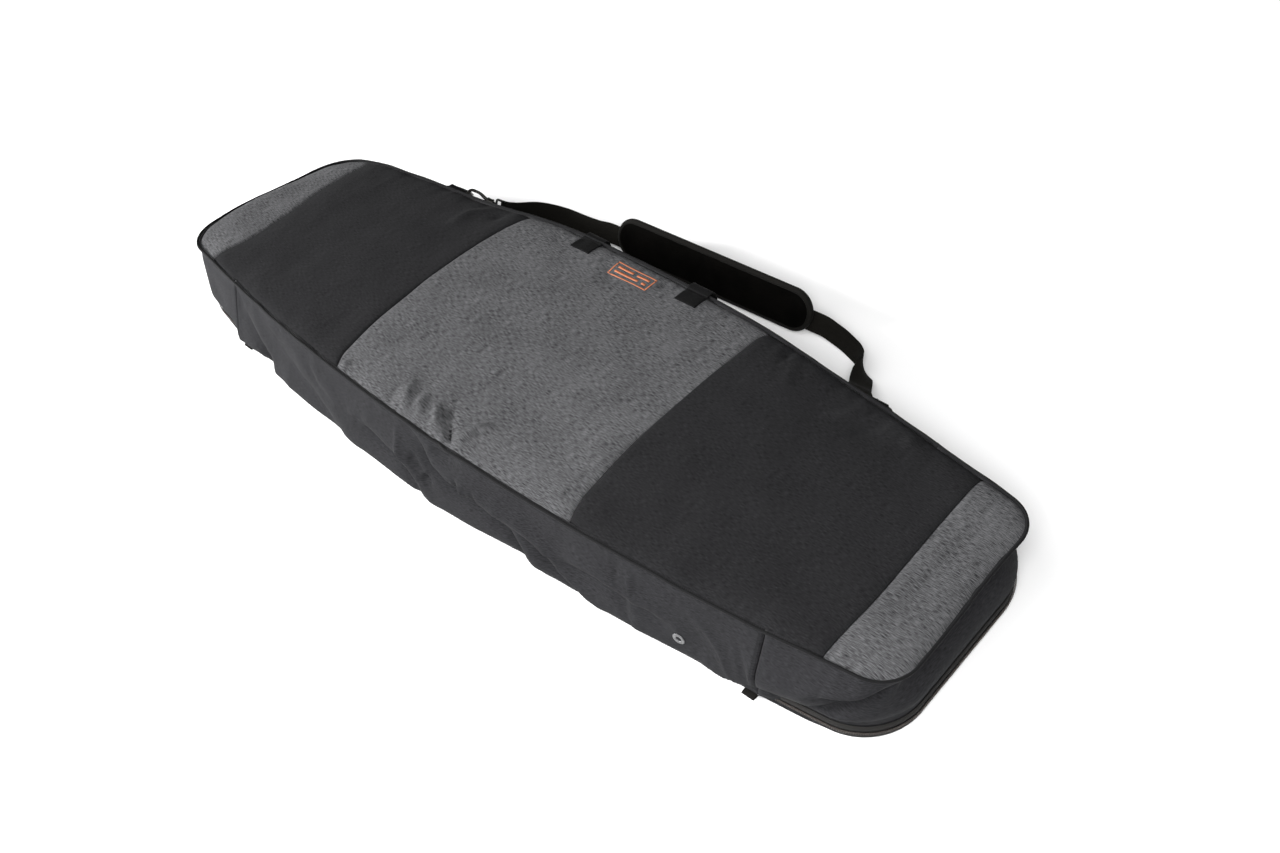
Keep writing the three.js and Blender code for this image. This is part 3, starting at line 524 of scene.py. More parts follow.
PRINT = plastic("orange_print", (0.30, 0.085, 0.034), (0.46, 0.150, 0.062), 0.6)


def piece(obj, body, replaces=()):
    """The usual calls for a finished piece that rides on one body."""
    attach(obj, body)
    if replaces:
        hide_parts(*replaces)
    return obj


# ---------------------------------------------------------------- shoulder strap: the webbing comes first
# How each D-ring tilts below level, how far round its bow the hook sits, and how the webbing lies at the eye.
ENDS = {
    "left": {"side": -1, "tilt": math.radians(42), "bow": math.radians(38), "across": (0.535, -0.178, 0.825)},
    "right": {"side": 1, "tilt": math.radians(65), "bow": math.radians(60),
              "across": (-0.855, -0.354, 0.379)},
}
BOW_CENTRE, BOW_RADIUS = 4.0, 23.5
EYE_BAR = 58.0
PAD_PLACE = np.array([12.0, 371.0, 36.2])
PAD_LEAN, PAD_TURN = -0.36, 0.045
PAD_LENGTH, PAD_WIDTH, PAD_THICKNESS = 415.0, 76.0, 9.4
WEB_DROP = 10.0


def ring_bar(end):
    """The middle of a D-ring's bar, and the way the ring points from it."""
    outward = np.array([0, math.cos(end["tilt"]), -math.sin(end["tilt"])])
    return np.array([end["side"] * D_RING_X, D_RING_Y, D_RING_Z]), outward


def hook_frame(end):
    """Where the hook starts inside the D-ring, and its own three axes as rows."""
    side, bow = end["side"], end["bow"]
    bar, outward = ring_bar(end)
    start = bar + outward * (BOW_CENTRE + BOW_RADIUS * math.sin(bow))
    start = start + np.array([-side * BOW_RADIUS * math.cos(bow), 0, 0])
    along = np.array([-side * math.cos(bow), 0, 0]) + outward * math.sin(bow)
    ring_normal = np.cross([1, 0, 0], outward)
    return start, np.array([along, ring_normal, np.cross(along, ring_normal)])


def pad_point(points):
    """Points in the pad's own frame, to the frame of the bag."""
    points = np.asarray(points, float)
    cl, sl, ct, st = math.cos(PAD_LEAN), math.sin(PAD_LEAN), math.cos(PAD_TURN), math.sin(PAD_TURN)
    lean = np.array([[1, 0, 0], [0, cl, -sl], [0, sl, cl]])
    turn = np.array([[ct, -st, 0], [st, ct, 0], [0, 0, 1]])
    return points @ (turn @ lean).T + PAD_PLACE


UPRIGHT = pad_point([0, 0, 1]) - pad_point([0, 0, 0])


def web_station(at, lie, end):
    """A point of the webbing and the way its width lies: as on the pad if lie is 0, as at its eye if 1."""
    across = unit(UPRIGHT * (1 - lie) + np.array(end["across"]) * lie)
    return np.concatenate([at, across])


def eye_station(end):
    start, axes = hook_frame(end)
    return web_station(start + axes[0] * (EYE_BAR + 3.8), 1, end)


# The strap's legs beside the pad: points (x, y, z) and lie.
LEFT_RUN = [
    (-369, 281, 67.5, 0.8), (-351, 303, 58, 0.5), (-330, 321, 47, 0.25),
    (-304, 336, 36.5, 0.1), (-272, 345.3, 28.4, 0), (-243, 351.8, 25.6, 0),
]
RIGHT_RUN = [
    (262, 376.3, 24.1, 0), (282, 373, 22.7, 0), (301, 367.8, 21.3, 0), (318, 361.5, 20.6, 0),
    (332, 352, 20.5, 0.08), (343, 340.5, 21, 0.4), (351.5, 327.5, 23, 0.8), (359.5, 313, 26.5, 1),
    (368.5, 298, 32, 1), (378.5, 284, 41, 1),
]
stations = [eye_station(ENDS["left"])]
stations += [web_station(point, lie, ENDS["left"]) for *point, lie in LEFT_RUN]
stations += [web_station(pad_point((x, 0, -WEB_DROP)), 0, ENDS["left"]) for x in range(-228, 229, 38)]
stations += [web_station(point, lie, ENDS["right"]) for *point, lie in RIGHT_RUN]
stations += [eye_station(ENDS["right"])]
web_line = smooth_path(stations, 5.0)
web_path, web_across = web_line[:, :3], unit(web_line[:, 3:])
web_section = flat_section(WEB_WIDTH, WEB_THICKNESS, ribs=9, rib=0.10, steps=37)
strap_webbing = sweep("shoulder_webbing", web_path, web_across, web_section, WEBBING)
piece(strap_webbing, "strap", ["strap_webbing"])

# ---------------------------------------------------------------- plan outline of the bag
PLAIN_X = 640.0
PLAIN_ANGLE = math.asin(PLAIN_X / SIDE_RADIUS)
CORNER_START, CORNER_END, MID_END = 1.2, 2.2, 2.5
SEAM_TURN = math.asin(GUSSET_SEAM_X / SIDE_RADIUS) / PLAIN_ANGLE


def flare_at(z):
    return np.clip((TOP_SEAM_Z - z) / (TOP_SEAM_Z - FLARE_END_Z), 0, 1)


def corner_at(flare, far_left, far_right):
    top = np.where(far_left, FAR_LEFT_CORNER, TOP_CORNER)
    base = np.where(far_right, FAR_RIGHT_BASE_CORNER, BASE_CORNER)
    return top + (base - top) * flare


def corner_arcs(flare, corner):
    """Where the side's arc is centred in y, the corner's centre, and the angle at which the two arcs meet."""
    half_width = TOP_HALF_WIDTH + (BASE_HALF_WIDTH - TOP_HALF_WIDTH) * flare
    centre_y = half_width - SIDE_RADIUS
    corner_x = HALF_LENGTH - corner
    corner_y = centre_y + np.sqrt((SIDE_RADIUS - corner) ** 2 - corner_x**2)
    return centre_y, corner_x, corner_y, np.arctan2(corner_x, corner_y - centre_y)


def outline(turn, z, out=0.0):
    """Points on the outline at height z and their outward directions, anticlockwise from mid near side."""
    turn, z, out = np.broadcast_arrays(*(np.asarray(v, float) for v in (turn, z, out)))
    t = turn % 10
    quadrant = np.minimum((t // 2.5).astype(int), 3)
    u = np.choose(quadrant, [t, 5 - t, t - 5, 10 - t])
    flare = flare_at(z)
    corner = corner_at(flare, quadrant == 2, quadrant == 1)
    centre_y, corner_x, corner_y, corner_angle = corner_arcs(flare, corner)
    past = np.clip((u - 1) / (CORNER_START - 1), 0, 1)
    side_angle = np.where(u <= 1, u * PLAIN_ANGLE, PLAIN_ANGLE + (corner_angle - PLAIN_ANGLE) * past)
    share = np.clip((u - CORNER_START) / (CORNER_END - CORNER_START), 0, 1)
    round_angle = corner_angle + (np.pi / 2 - corner_angle) * share
    on_side = u <= CORNER_START
    angle = np.where(on_side, side_angle, round_angle)
    x = np.where(on_side, SIDE_RADIUS * np.sin(angle), corner_x + corner * np.sin(angle))
    y = np.where(on_side, centre_y + SIDE_RADIUS * np.cos(angle), corner_y + corner * np.cos(angle))
    on_end = u > CORNER_END
    y = np.where(on_end, corner_y * (1 - (u - CORNER_END) / (MID_END - CORNER_END)), y)
    x = np.where(on_end, HALF_LENGTH, x)
    nx, ny = np.where(on_end, 1.0, np.sin(angle)), np.where(on_end, 0.0, np.cos(angle))
    sx = np.where(quadrant <= 1, 1.0, -1.0)
    sy = np.where((quadrant == 0) | (quadrant == 3), -1.0, 1.0)
    points = np.stack([sx * (x + nx * out), sy * (y + ny * out), z], -1)
    return points, np.stack([sx * nx, sy * ny, 0 * z], -1)


def turns_every(start, end, spacing):
    """Turns from start to end whose points on the base outline lie about evenly apart."""
    fine = np.linspace(start, end, 6000)
    travelled = distances_along(outline(fine, 60.0)[0])
    count = max(3, int(round(travelled[-1] / spacing)) + 1)
    return np.interp(np.linspace(0, travelled[-1], count), travelled, fine)


def half_width_at(x, z=TOP_SEAM_Z, far=True):
    """Half-width at a distance from the middle, round the corners as well."""
    x = np.asarray(x, float)
    flare = flare_at(z)
    corner = corner_at(flare, (x < 0) & far, (x > 0) & far)
    centre_y, corner_x, corner_y, corner_angle = corner_arcs(flare, corner)
    ax = np.minimum(np.abs(x), HALF_LENGTH)
    on_arc = centre_y + np.sqrt(SIDE_RADIUS**2 - ax**2)
    on_corner = corner_y + np.sqrt(np.maximum(corner**2 - (ax - corner_x) ** 2, 0))
    return np.where(ax <= SIDE_RADIUS * np.sin(corner_angle), on_arc, on_corner)


# ---------------------------------------------------------------- front panel
SEAM_VALLEY = 2.8
PANEL_TOP_Z = 148.6  # the padding never rises above this
NEAR_NOTCH_X = 4.0  # the near edge is pinched here, where the piping is joined
FAR_LIFT, FAR_PUSH = 15.4, 8.0
PANEL_FOLD_SCALE = 3.3


def far_edge_rise(x):
    """The padding lifts the panel's far edge between the handle's anchors."""
    return FAR_LIFT * step_between(x, -400, -120) * (1 - step_between(x, 190, 470))


def far_edge_push(x, y):
    """The same padding, and the bulging side under it, push the far edge outward."""
    along = step_between(x, -400, -200) * (1 - step_between(x, 470, 650))
    return FAR_PUSH * along * step_between(y, 140, 225)


# The sewn seams of the colour blocks wander: (y, x) points from the near edge to the far one.
SEAM_LINES = {
    -651.0: [(-230, -664), (-178, -661), (-143, -655), (-106, -643), (-57, -641), (13, -645), (44, -654),
             (108, -657), (185, -648), (230, -642)],
    -258.0: [(-230, -250), (-210, -255), (-194, -265), (-172, -268), (-137, -272), (8, -275), (91, -273),
             (172, -268), (227, -256)],
    258.0: [(-230, 262), (-205, 256), (-170, 248), (-50, 245), (75, 248), (201, 252), (220, 261)],
    651.0: [(-230, 650), (-176, 652), (-72, 656), (60, 653), (230, 650)],
}
SEAM_ROUNDING = np.linspace(-14, 14, 9)


def seam_x(seam, y):
    """Where a seam runs at y, its corners rounded."""
    ys, xs = np.array(SEAM_LINES[seam], float).T
    return np.mean([np.interp(np.asarray(y, float) + step, ys, xs) for step in SEAM_ROUNDING], axis=0)


def beside(distance, reach, bare):
    """1 a little way in from an edge, and 0 on it and far from it."""
    return np.exp(-distance / reach) * (1 - np.exp(-distance / bare))


def roll_over(distance, width):
    """The rounding of the padding from 0 on its edge to 1 inside it."""
    return 1 - np.exp(-((distance / width) ** 0.95))


def panel_height(x, y):
    """Height of the front panel's padded face."""
    near_edge, far_edge = -half_width_at(x, far=False), half_width_at(x, far=True)
    from_near, from_far = np.maximum(y - near_edge, 0), np.maximum(far_edge - y, 0)
    from_end = HALF_LENGTH - np.abs(x)
    dome = (12.5 - 3.5 * hump(x, 60, 260)) * step_between(from_end, 20, 430) + 1.5
    crown = dome * np.cos(np.clip(y / 225, -1, 1) * np.pi / 2) ** 1.3
    wobble_near = soft_noise(x / 46, 0.3, 5)
    wobble_far = soft_noise(x / 52, 0.7, 6)
    near_lift = (8.6 + 1.8 * wobble_near) * roll_over(from_near, 13 + 5 * wobble_near)
    far_lift = (7.0 + 1.6 * wobble_far) * roll_over(from_far, 12 + 4 * wobble_far)
    across = step_between(y, -150, 150)
    end_lift = 0.10 + 0.90 * roll_over(from_end, 10)
    z = 126.0 + far_edge_rise(x) * across + (near_lift * (1 - across) + far_lift * across) * end_lift + crown
    # puckers square to the stitched edges, and slow waves in the foam
    pucker_near = soft_noise(x / 16, 0.2 + from_near / 90, 11) * 2.4 + soft_noise(x / 36, 0.9, 12) * 3.0
    pucker_far = soft_noise(x / 14, 0.2 + from_far / 80, 13) * 2.4 + soft_noise(x / 31, 0.4, 14) * 3.0
    pucker_end = soft_noise(y / 17, 0.4, 18) * 1.2
    z = z + pucker_near * beside(from_near, 24, 5) + pucker_far * beside(from_far, 26, 5)
    z = z + pucker_end * beside(from_end, 16, 4)
    z = z + 1.7 * soft_noise(x / 110, y / 80, 15) + 1.0 * soft_noise(x / 47, y / 55, 16)
    z = z + 0.35 * soft_noise(x / 18, y / 24, 19)
    z = z - 3.2 * hump(from_near, 0, 2.4) * step_between(from_end, 50, 130)
    z = z - 1.2 * hump(np.minimum(from_far, from_end), 0, 2.4)
    for line, height, width in PANEL_FOLDS:
        z = z + fold_field(x, y, line, PANEL_FOLD_SCALE * height, width)
    for seam in PANEL_SEAMS:
        away = np.abs(x - seam_x(seam, y))
        gather = soft_noise(y / 13, seam, 17) * 0.7 * beside(away, 9, 2)
        z = z - SEAM_VALLEY * np.exp(-((away / 2.6) ** 1.3)) - 1.3 * np.exp(-((away / 13) ** 2)) + gather
    return PANEL_TOP_Z - 1.6 * np.logaddexp(0, (PANEL_TOP_Z - z) / 1.6)


def slump(points):
    """The bag's far left corner is drawn in and sags, and its right end is drawn in a little."""
    x, y, z = points[..., 0], points[..., 1], points[..., 2]
    high = step_between(z, 36, 118)
    left = step_between(-x, 590, 752) * step_between(y, -90, 120) * high
    right = step_between(x, 640, 750) * hump(y, 60, 90) * high
    push = far_edge_push(x, y) * high
    return points + np.stack([17.0 * left - 4.0 * right, push - 3.0 * left, -12.0 * left], -1)


# Soft folds and dents in the panel: points (x, y), height before PANEL_FOLD_SCALE, and width.
PANEL_FOLDS = [
    (((20, -216), (2, -200), (-13, -184)), -3.6, 4.5),
    (((-13, -184), (-22, -168)), -1.8, 6.0),
    (((34, -214), (30, -196), (38, -172), (60, -158)), 3.0, 9.0),
    (((-18, -212), (-32, -194), (-52, -172)), 2.6, 8.0),
    (((-56, -210), (-74, -190), (-84, -168)), 2.2, 8.0),
    (((-84, -212), (-108, -188), (-122, -160)), 2.2, 9.0),
    (((-122, -212), (-132, -190)), -1.6, 8.0),
    (((-240, -207), (-250, -196)), 2.0, 9.0),
    (((75, -212), (96, -178), (120, -150)), -1.2, 12.0),
    (((-60, 196), (-20, 170), (-70, 128)), -1.6, 9.0),
    (((-72, 192), (-60, 160), (-30, 118), (-50, 88)), 1.5, 14.0),
    (((30, 206), (24, 180), (4, 150), (6, 122)), 1.7, 11.0),
    (((60, 210), (56, 196)), -1.8, 6.0),
    (((-160, 205), (-170, 180)), -1.5, 8.0),
    (((-205, 205), (-228, 172), (-232, 140)), 1.3, 12.0),
    (((-330, 196), (-352, 168), (-356, 120)), 1.6, 11.0),
    (((-300, 200), (-306, 172)), -1.3, 8.0),
    (((330, 190), (344, 150), (330, 118)), 1.7, 10.0),
    (((470, 190), (452, 168), (428, 146)), 1.9, 8.0),
    (((500, 186), (480, 150), (470, 128)), -1.4, 10.0),
    (((548, 180), (536, 160)), 1.2, 7.0),
    (((300, 202), (316, 186)), -1.2, 6.0),
    (((700, 110), (690, 0), (694, -90)), -0.9, 12.0),
    (((-560, 150), (-585, 40), (-570, -60)), 0.8, 30.0),
    (((-640, -176), (-560, -196)), 1.2, 10.0),
    (((712, -172), (722, -160), (738, -152)), -2.6, 5.0),
]


PANEL_STEP = 5.0
SEAM_STEPS = np.array([0.15, 0.9, 2.0, 3.4, 5.2])  # columns beside a seam
END_SHAPE_X = 646.0  # from here to the end the columns get closer and closer


def panel_row_y(x, y_rows):
    return (-half_width_at(x, far=False) * (1 - y_rows) + half_width_at(x, far=True) * (1 + y_rows)) / 2


def panel_block(x0, x1, y_rows):
    """The grid of one colour block between two seams, or a seam and an end, and its UV pairs."""
    side = -1 if x0 == -HALF_LENGTH else 1
    if HALF_LENGTH in (-x0, x1):
        t = np.linspace(0, 1, 22)
        corner = END_SHAPE_X + (HALF_LENGTH - END_SHAPE_X) * (1 - (1 - t) ** 1.9)
        seam = x0 if side > 0 else -x1
        xs = np.concatenate([seam + SEAM_STEPS, corner[corner > seam + 6.5]])
    else:
        inner = np.arange(math.ceil((x0 + 6) / PANEL_STEP) * PANEL_STEP, x1 - 5.5, PANEL_STEP)
        xs = np.concatenate([x0 + SEAM_STEPS, inner, x1 - SEAM_STEPS])
    xs = np.sort(np.unique(xs.round(3)) * side)
    plain = np.broadcast_to(xs[:, None], (len(xs), len(y_rows)))
    y = panel_row_y(plain, y_rows)
    x = plain.copy()
    for seam in PANEL_SEAMS:
        reach = 88.0 if abs(seam) > 600 else 150.0
        x = x + (seam_x(seam, y) - seam) * (1 - step_between(np.abs(plain - seam), 0, reach))
    y = panel_row_y(x, y_rows)
    grid = slump(np.stack([x, y, panel_height(x, y)], -1))
    return grid, np.stack([x, y], -1) * MM


middle = np.linspace(-1, 1, 91)
near_rows = np.array([0.0015, 0.006, 0.013])
Y_ROWS = np.unique(np.concatenate([middle, -1 + near_rows, 1 - near_rows]).round(5))
BLOCKS = [
    ("left_end", -HALF_LENGTH, -651, HEATHER, "heather_cloth"),
    ("left_block", -651, -258, CHARCOAL, "charcoal_cloth"),
    ("centre", -258, 258, HEATHER, "heather_cloth"),
    ("right_block", 258, 651, CHARCOAL, "charcoal_cloth"),
    ("right_end", 651, HALF_LENGTH, HEATHER, "heather_cloth"),
]
for block, x0, x1, cloth, slot in BLOCKS:
    grid, uv = panel_block(x0, x1, Y_ROWS)
    panel = cloth_shell(f"panel_{block}", grid, 1.8, cloth, LINING, uv)
    piece(panel, "lid", [f"front_panel_{block}"])

# ---------------------------------------------------------------- piping
PIPING_OUT = 2.3


def piping_point(turn):
    points, normals = outline(turn, TOP_SEAM_Z, PIPING_OUT)
    x, y = points[..., 0], points[..., 1]
    near, far = y < 0, y > 0
    sway = 0.7 * soft_noise(x / 37 + 3 * far, y / 60, 21)
    kink = near * (1.6 * hump(x, NEAR_NOTCH_X, 9) - 1.2 * hump(x, NEAR_NOTCH_X + 16, 10))
    rise = np.where(far, far_edge_rise(x) * step_between(y, 150, 200), 0)
    rise = rise + 0.8 * soft_noise(x / 45, y / 45, 22) - near * 1.2 * hump(x, NEAR_NOTCH_X, 12)
    rise = rise + 1.3 - 1.2 * step_between(np.abs(x), 660, 730)
    return slump(points + normals * (sway - kink)[..., None] + np.stack([0 * x, 0 * x, rise], -1))


piping_line = piping_point(turns_every(0, 10, 5.0)[:-1])
piping = sweep("panel_piping", piping_line, (0, 0, 1), circle(2.2, 12), SHADE_DARKENED_PIPING, closed=True)
piece(piping, "lid", ["front_piping"])

# ---------------------------------------------------------------- gussets
NEAR_FOLD_SCALE, NEAR_DRAPE_SCALE, RIGHT_DRAPE_SCALE = 1.5, 1.3, 1.4
# Folds of the near gusset: points (x, z), height outward and width.
NEAR_FOLDS = [
    (((-30, 62), (-24, 57), (-10, 52)), -7.0, 5.0),
    (((-60, 84), (-46, 70), (-30, 60)), -6.0, 8.0),
    (((-16, 116), (15, 114), (46, 118)), -8.0, 9.0),
    (((46, 100), (62, 68)), -4.5, 4.0),
    (((60, 102), (74, 70)), 4.0, 4.5),
    (((84, 100), (90, 76)), -3.2, 4.0),
    (((-98, 108), (-84, 84), (-70, 62)), 3.5, 6.0),
    (((-476, 50), (-470, 12)), -6.0, 14.0),
    (((340, 104), (352, 84)), -2.6, 5.0),
    (((366, 106), (376, 80)), 2.6, 5.0),
    (((470, 96), (520, 60), (540, 24)), 3.4, 8.0),
    (((540, 92), (560, 46), (566, 20)), -3.0, 7.0),
]
# Where the near gusset's cloth hangs over itself: points (x, z), height, and width below and above the line.
NEAR_DRAPES = [
    (((-60, 122), (-33, 106), (-8, 86), (28, 76), (71, 75), (118, 69), (151, 56), (172, 36), (196, -6)),
     11.0, 10, 20),
    (((-190, 70), (-138, 65), (-89, 62), (-64, 51), (-40, 36), (-26, 18)), 8.0, 8, 15),
    (((140, 78), (170, 74), (214, 58), (246, 41), (284, 26), (310, 12)), 7.0, 7, 12),
    (((235, 62), (251, 64), (316, 70), (344, 69), (369, 62), (376, 38)), 5.0, 7, 11),
    (((350, 74), (375, 67), (402, 65), (440, 58)), 3.0, 6, 10),
    (((-540, 96), (-500, 60), (-470, 20), (-466, -20)), 5.0, 12, 20),
    (((-420, 92), (-330, 64), (-240, 30), (-200, -10)), 3.4, 14, 22),
    (((-330, 108), (-300, 84), (-250, 72)), 2.0, 8, 12),
]
RIGHT_DRAPES = [
    (((540, 24), (576, 36), (620, 46), (646, 50), (668, 62), (693, 88), (718, 112), (746, 138)), 9.0, 10, 26),
    (((660, 80), (700, 90), (728, 104), (752, 116)), 8.0, 5, 9),
    (((620, 14), (660, 26), (700, 42), (752, 50)), 3.5, 10, 12),
]

# How far the near gusset bulges at its foot, along x. It is drawn in beside the left eyelet and at the main
# fold.
NEAR_BELLY = [
    (-700, 8), (-620, 18), (-570, 21), (-508, 12), (-478, 3), (-445, 14), (-400, 22), (-309, 21), (-180, 21),
    (-91, 22), (6, 22), (60, 19), (88, 16), (130, 8), (159, 4), (180, 8), (215, 11), (324, 16), (393, 16),
    (486, 9), (540, 15), (592, 17), (642, 17), (690, 8), (746, 0),
]


def belly(z, points):
    """How far the gusset stands outside its plain outline."""
    x, y = points[..., 0], points[..., 1]
    near = step_between(-y, 60, 150)
    far = step_between(y, 60, 150)
    end = np.clip(1 - near - far, 0, 1)
    down = np.clip((TOP_SEAM_Z - z) / (TOP_SEAM_Z - GUSSET_BOTTOM_Z), 0, 1)
    zipped = step_between(np.abs(x), GUSSET_SEAM_X - 2, GUSSET_SEAM_X + 40)
    zipped = np.maximum(zipped, step_between(y, -120, 0))
    # along the near side the piping stands clear of the cloth under it
    groove = 3.4 * hump(down, 0.022, 0.016) * near * (1 - step_between(np.abs(x), 600, 680))
    lip = (1.5 + 2.0 * (1 - np.exp(-down / 0.03))) * (1 - 0.6 * near * step_between(down, 0.0, 0.3)) - groove
    low = down**1.2 * (1 - 0.45 * step_between(down, 0.90, 1.0))
    xs, depths = np.array(NEAR_BELLY, float).T
    near_out = np.interp(x, xs, depths) * low * (1 + 0.10 * soft_noise(x / 75, 0.5, 31))
    near_out = near_out - 2.6 * hump(down, 0.10, 0.09)
    far_out = (5.0 + 4.0 * step_between(x, 150, 350)) * (1 - np.exp(-down / 0.06))
    beside_ring = 1 - 0.45 * hump(np.abs(x), D_RING_X, 55)
    far_out = far_out * (1 - 0.9 * step_between(down, 0.30, 0.80)) * beside_ring
    end_out = -11.0 * hump(down, 0.25, 0.14) + 3.5 * hump(down, 0.62, 0.16)
    out = lip + near * near_out + far * far_out + end * end_out * (0.45 + 0.55 * (x > 0))
    middle = np.sin(np.pi * np.clip(down * 1.05, 0, 1))
    out = out + middle * 1.2 * soft_noise(x / 30 + y / 41, z / 34, 32)
    out = out + middle * 2.4 * soft_noise(x / 85 + y / 70, z / 60, 33)
    pucker = soft_noise((x + y) / 15, 0.5, 34) * np.exp(-down / 0.14) * (1 - np.exp(-down / 0.02))
    out = out + 2.0 * pucker
    held = 1 - np.exp(-down / 0.06)  # the piping holds the rim still
    for line, height, width in NEAR_FOLDS:
        out = out + near * held * fold_field(x, z, line, NEAR_FOLD_SCALE * height, width)
    for line, height, below, above in NEAR_DRAPES:
        out = out + near * held * drape_field(x, z, line, NEAR_DRAPE_SCALE * height, below, above)
    right = step_between(-y, 40, 120) * held
    for line, height, below, above in RIGHT_DRAPES:
        out = out + right * drape_field(x, z, line, RIGHT_DRAPE_SCALE * height, below, above)
    # the right end is drawn in below the piping, and the corner next to it is pinched
    out = out - 13.0 * step_between(x, 728, 746) * hump(z, 94 + y / 18, 17)
    out = out - 9.0 * hump(x, 741, 8) * hump(y, -163, 10) * hump(z, 92, 26)
    out = out - 24.0 * step_between(x, 650, 730) * step_between(y, 60, 140) * hump(z, 84, 25)
    # the cloth leans a little where an eyelet holds it flat
    for eyelet_x in EYELETS.values():
        flat = hump(np.hypot(x - eyelet_x, z - EYELET_Z), 0, 17) * near
        out = out + 0.30 * (z - EYELET_Z) * flat
    seam = np.abs(np.abs(x) - GUSSET_SEAM_X)
    out = out + (1.8 * hump(np.abs(x), GUSSET_SEAM_X - 7, 5) - 3.0 * np.exp(-seam / 3.0)) * middle**0.5
    # above the zip the cloth comes down inside the tape
    return out * (1 - zipped * step_between(-z, -48, -27)) - 0.6 * zipped * step_between(-z, -32, -26)


def gusset_point(turn, z):
    """Points on the gusset's face, and their outward directions."""
    points, normals = outline(turn, z)
    face = points + normals * belly(z, points)[..., None]
    far_rim = step_between(points[..., 1], 150, 200) * step_between(z, 70, 127)
    face[..., 2] += far_edge_rise(points[..., 0]) * far_rim
    return slump(face), normals


LEVELS = np.concatenate([[127.4, 125.8, 124.2, 122.2], np.linspace(119, 17, 34), [14.6, 12.6, 11.2]])
SEAMS = [SEAM_TURN, 5 - SEAM_TURN, 5 + SEAM_TURN, 10 - SEAM_TURN]


def blend_at_hinge(obj):
    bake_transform(obj)


def blend_at_end(obj):
    """Bakes the object's transform into its mesh."""
    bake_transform(obj)


for name, first, last, spacing in (
    ("near", SEAMS[3] - 10, SEAMS[0], 3.6),
    ("right_end", SEAMS[0], SEAMS[1], 3.6),
    ("far", SEAMS[1], SEAMS[2], 4.6),
    ("left_end", SEAMS[2], SEAMS[3], 4.6),
):
    turn, z = np.meshgrid(turns_every(first + 0.0006, last - 0.0006, spacing), LEVELS, indexing="ij")
    gusset = cloth_shell(f"side_{name}", gusset_point(turn, z)[0], 3.2, GUSSET, LINING, inward=-1)
    if name == "near":
        blend_at_hinge(gusset)
    elif name == "far":
        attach(gusset, "lid")
    else:
        blend_at_end(gusset)
    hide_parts(f"gusset_{name}")


# ---------------------------------------------------------------- base and front: cloth, foam, lining
slab_turns = turns_every(0, 10, 6.0)[:-1]


def slab_mesh(name, rings, low, high, material):
    """A closed slab from rings of points, with a fan to a middle point under the first and over the last.

    Like the rest of the bag it is slumped, which leaves what lies as low as the base unchanged.
    """
    grid = np.stack(rings, 1)
    rows, cols = grid.shape[:2]
    faces = [list(f)[::-1] for f in grid_faces(rows, cols, True)]
    for i in range(rows):
        j = (i + 1) % rows
        faces.append([rows * cols, j * cols, i * cols])
        faces.append([rows * cols + 1, i * cols + cols - 1, j * cols + cols - 1])
    points = slump(np.concatenate([grid.reshape(-1, 3), [[0, 0, low], [0, 0, high]]]))
    return new_mesh(name, points, faces, material, points[:, :2] * MM)


def base_out(points):
    """The base's near edge bulges a little under the gusset."""
    xs, depths = np.array(NEAR_BELLY, float).T
    return (0.42 * np.interp(points[:, 0], xs, depths) - 2.5) * step_between(-points[:, 1], 100, 190)


def quilting(x, y):
    """The lining's low swells between its long sewn channels."""
    lines = np.abs(np.sin(np.pi * (np.asarray(y, float) + 60) / 120))
    return 2.2 * lines**0.5 + 0.5 * soft_noise(np.asarray(x) / 60, np.asarray(y) / 60, 41)


def drawn_in(ring, share, swell=None, way=1):
    """A ring drawn in towards the middle. Its swell grows from nothing at the edge; way is 1 up, -1 down."""
    inner = ring * [share, share, 1]
    if swell:
        inner[:, 2] += way * swell(inner[:, 0], inner[:, 1]) * min(1.0, (1 - share) * 6)
    return inner


def base_slab(name, profile, material, swell=None, steps=9):
    """A slab of the base: its edge is a list of (height, outward), from its underside to its top."""
    rings = []
    for z, out in profile:
        points, normals = outline(slab_turns, z)
        rings.append(points + normals * (out + base_out(points))[:, None])
    under = [drawn_in(rings[0], share) for share in np.linspace(0, 1, steps)[1:]]
    over = [drawn_in(rings[-1], share, swell) for share in np.linspace(1, 0, steps)[:-1]]
    top = profile[-1][0] + (swell(0, 0) if swell else 0)
    return slab_mesh(name, under + rings[1:-1] + over, profile[0][0], top, material)


def lid_slab(name, z_low, z_high, inset, material, swell=None):
    """A slab that hangs under the front panel, inside the gussets."""
    points, normals = outline(slab_turns, z_high)
    edge = points - normals * inset
    plan = edge * [1, 1, 0]
    under = [drawn_in(plan + [0, 0, z_low], share, swell, -1) for share in np.linspace(0, 1, 40)[1:]]
    rim = plan + normals * 0.5 + [0, 0, (z_low + z_high) / 2]
    over = [drawn_in(edge, share) for share in np.linspace(1, 0, 12)[:-1]]
    return slab_mesh(name, [*under, rim, *over], z_low - (swell(0, 0) if swell else 0), z_high, material)


back_panel = base_slab(
    "back_panel",
    [(0.0, -8.0), (0.0, -8.0), (0.5, -3.2), (1.7, -0.9), (4.2, 0.1), (7.6, 0.15), (9.4, -0.3), (9.5, -2.2)],
    CHARCOAL,
)
piece(back_panel, "base", ["base_outer_cloth"])
back_foam = base_slab(
    "back_foam", [(3.0, -9.0), (3.0, -9.0), (3.5, -5.0), (5.0, -3.6), (7.4, -3.6), (8.8, -5.0), (9.2, -9.0)],
    FOAM,
)
piece(back_foam, "base", ["base_foam"])
back_lining = base_slab(
    "back_lining", [(9.7, -9.0), (9.7, -9.0), (9.7, -3.0), (10.2, -0.8), (10.8, -2.5), (10.9, -8.0)],
    LINING, quilting, steps=40,
)
piece(back_lining, "base", ["base_lining"])
piece(lid_slab("panel_foam", 114.6, 119.4, 9.0, FOAM), "lid", ["front_foam"])
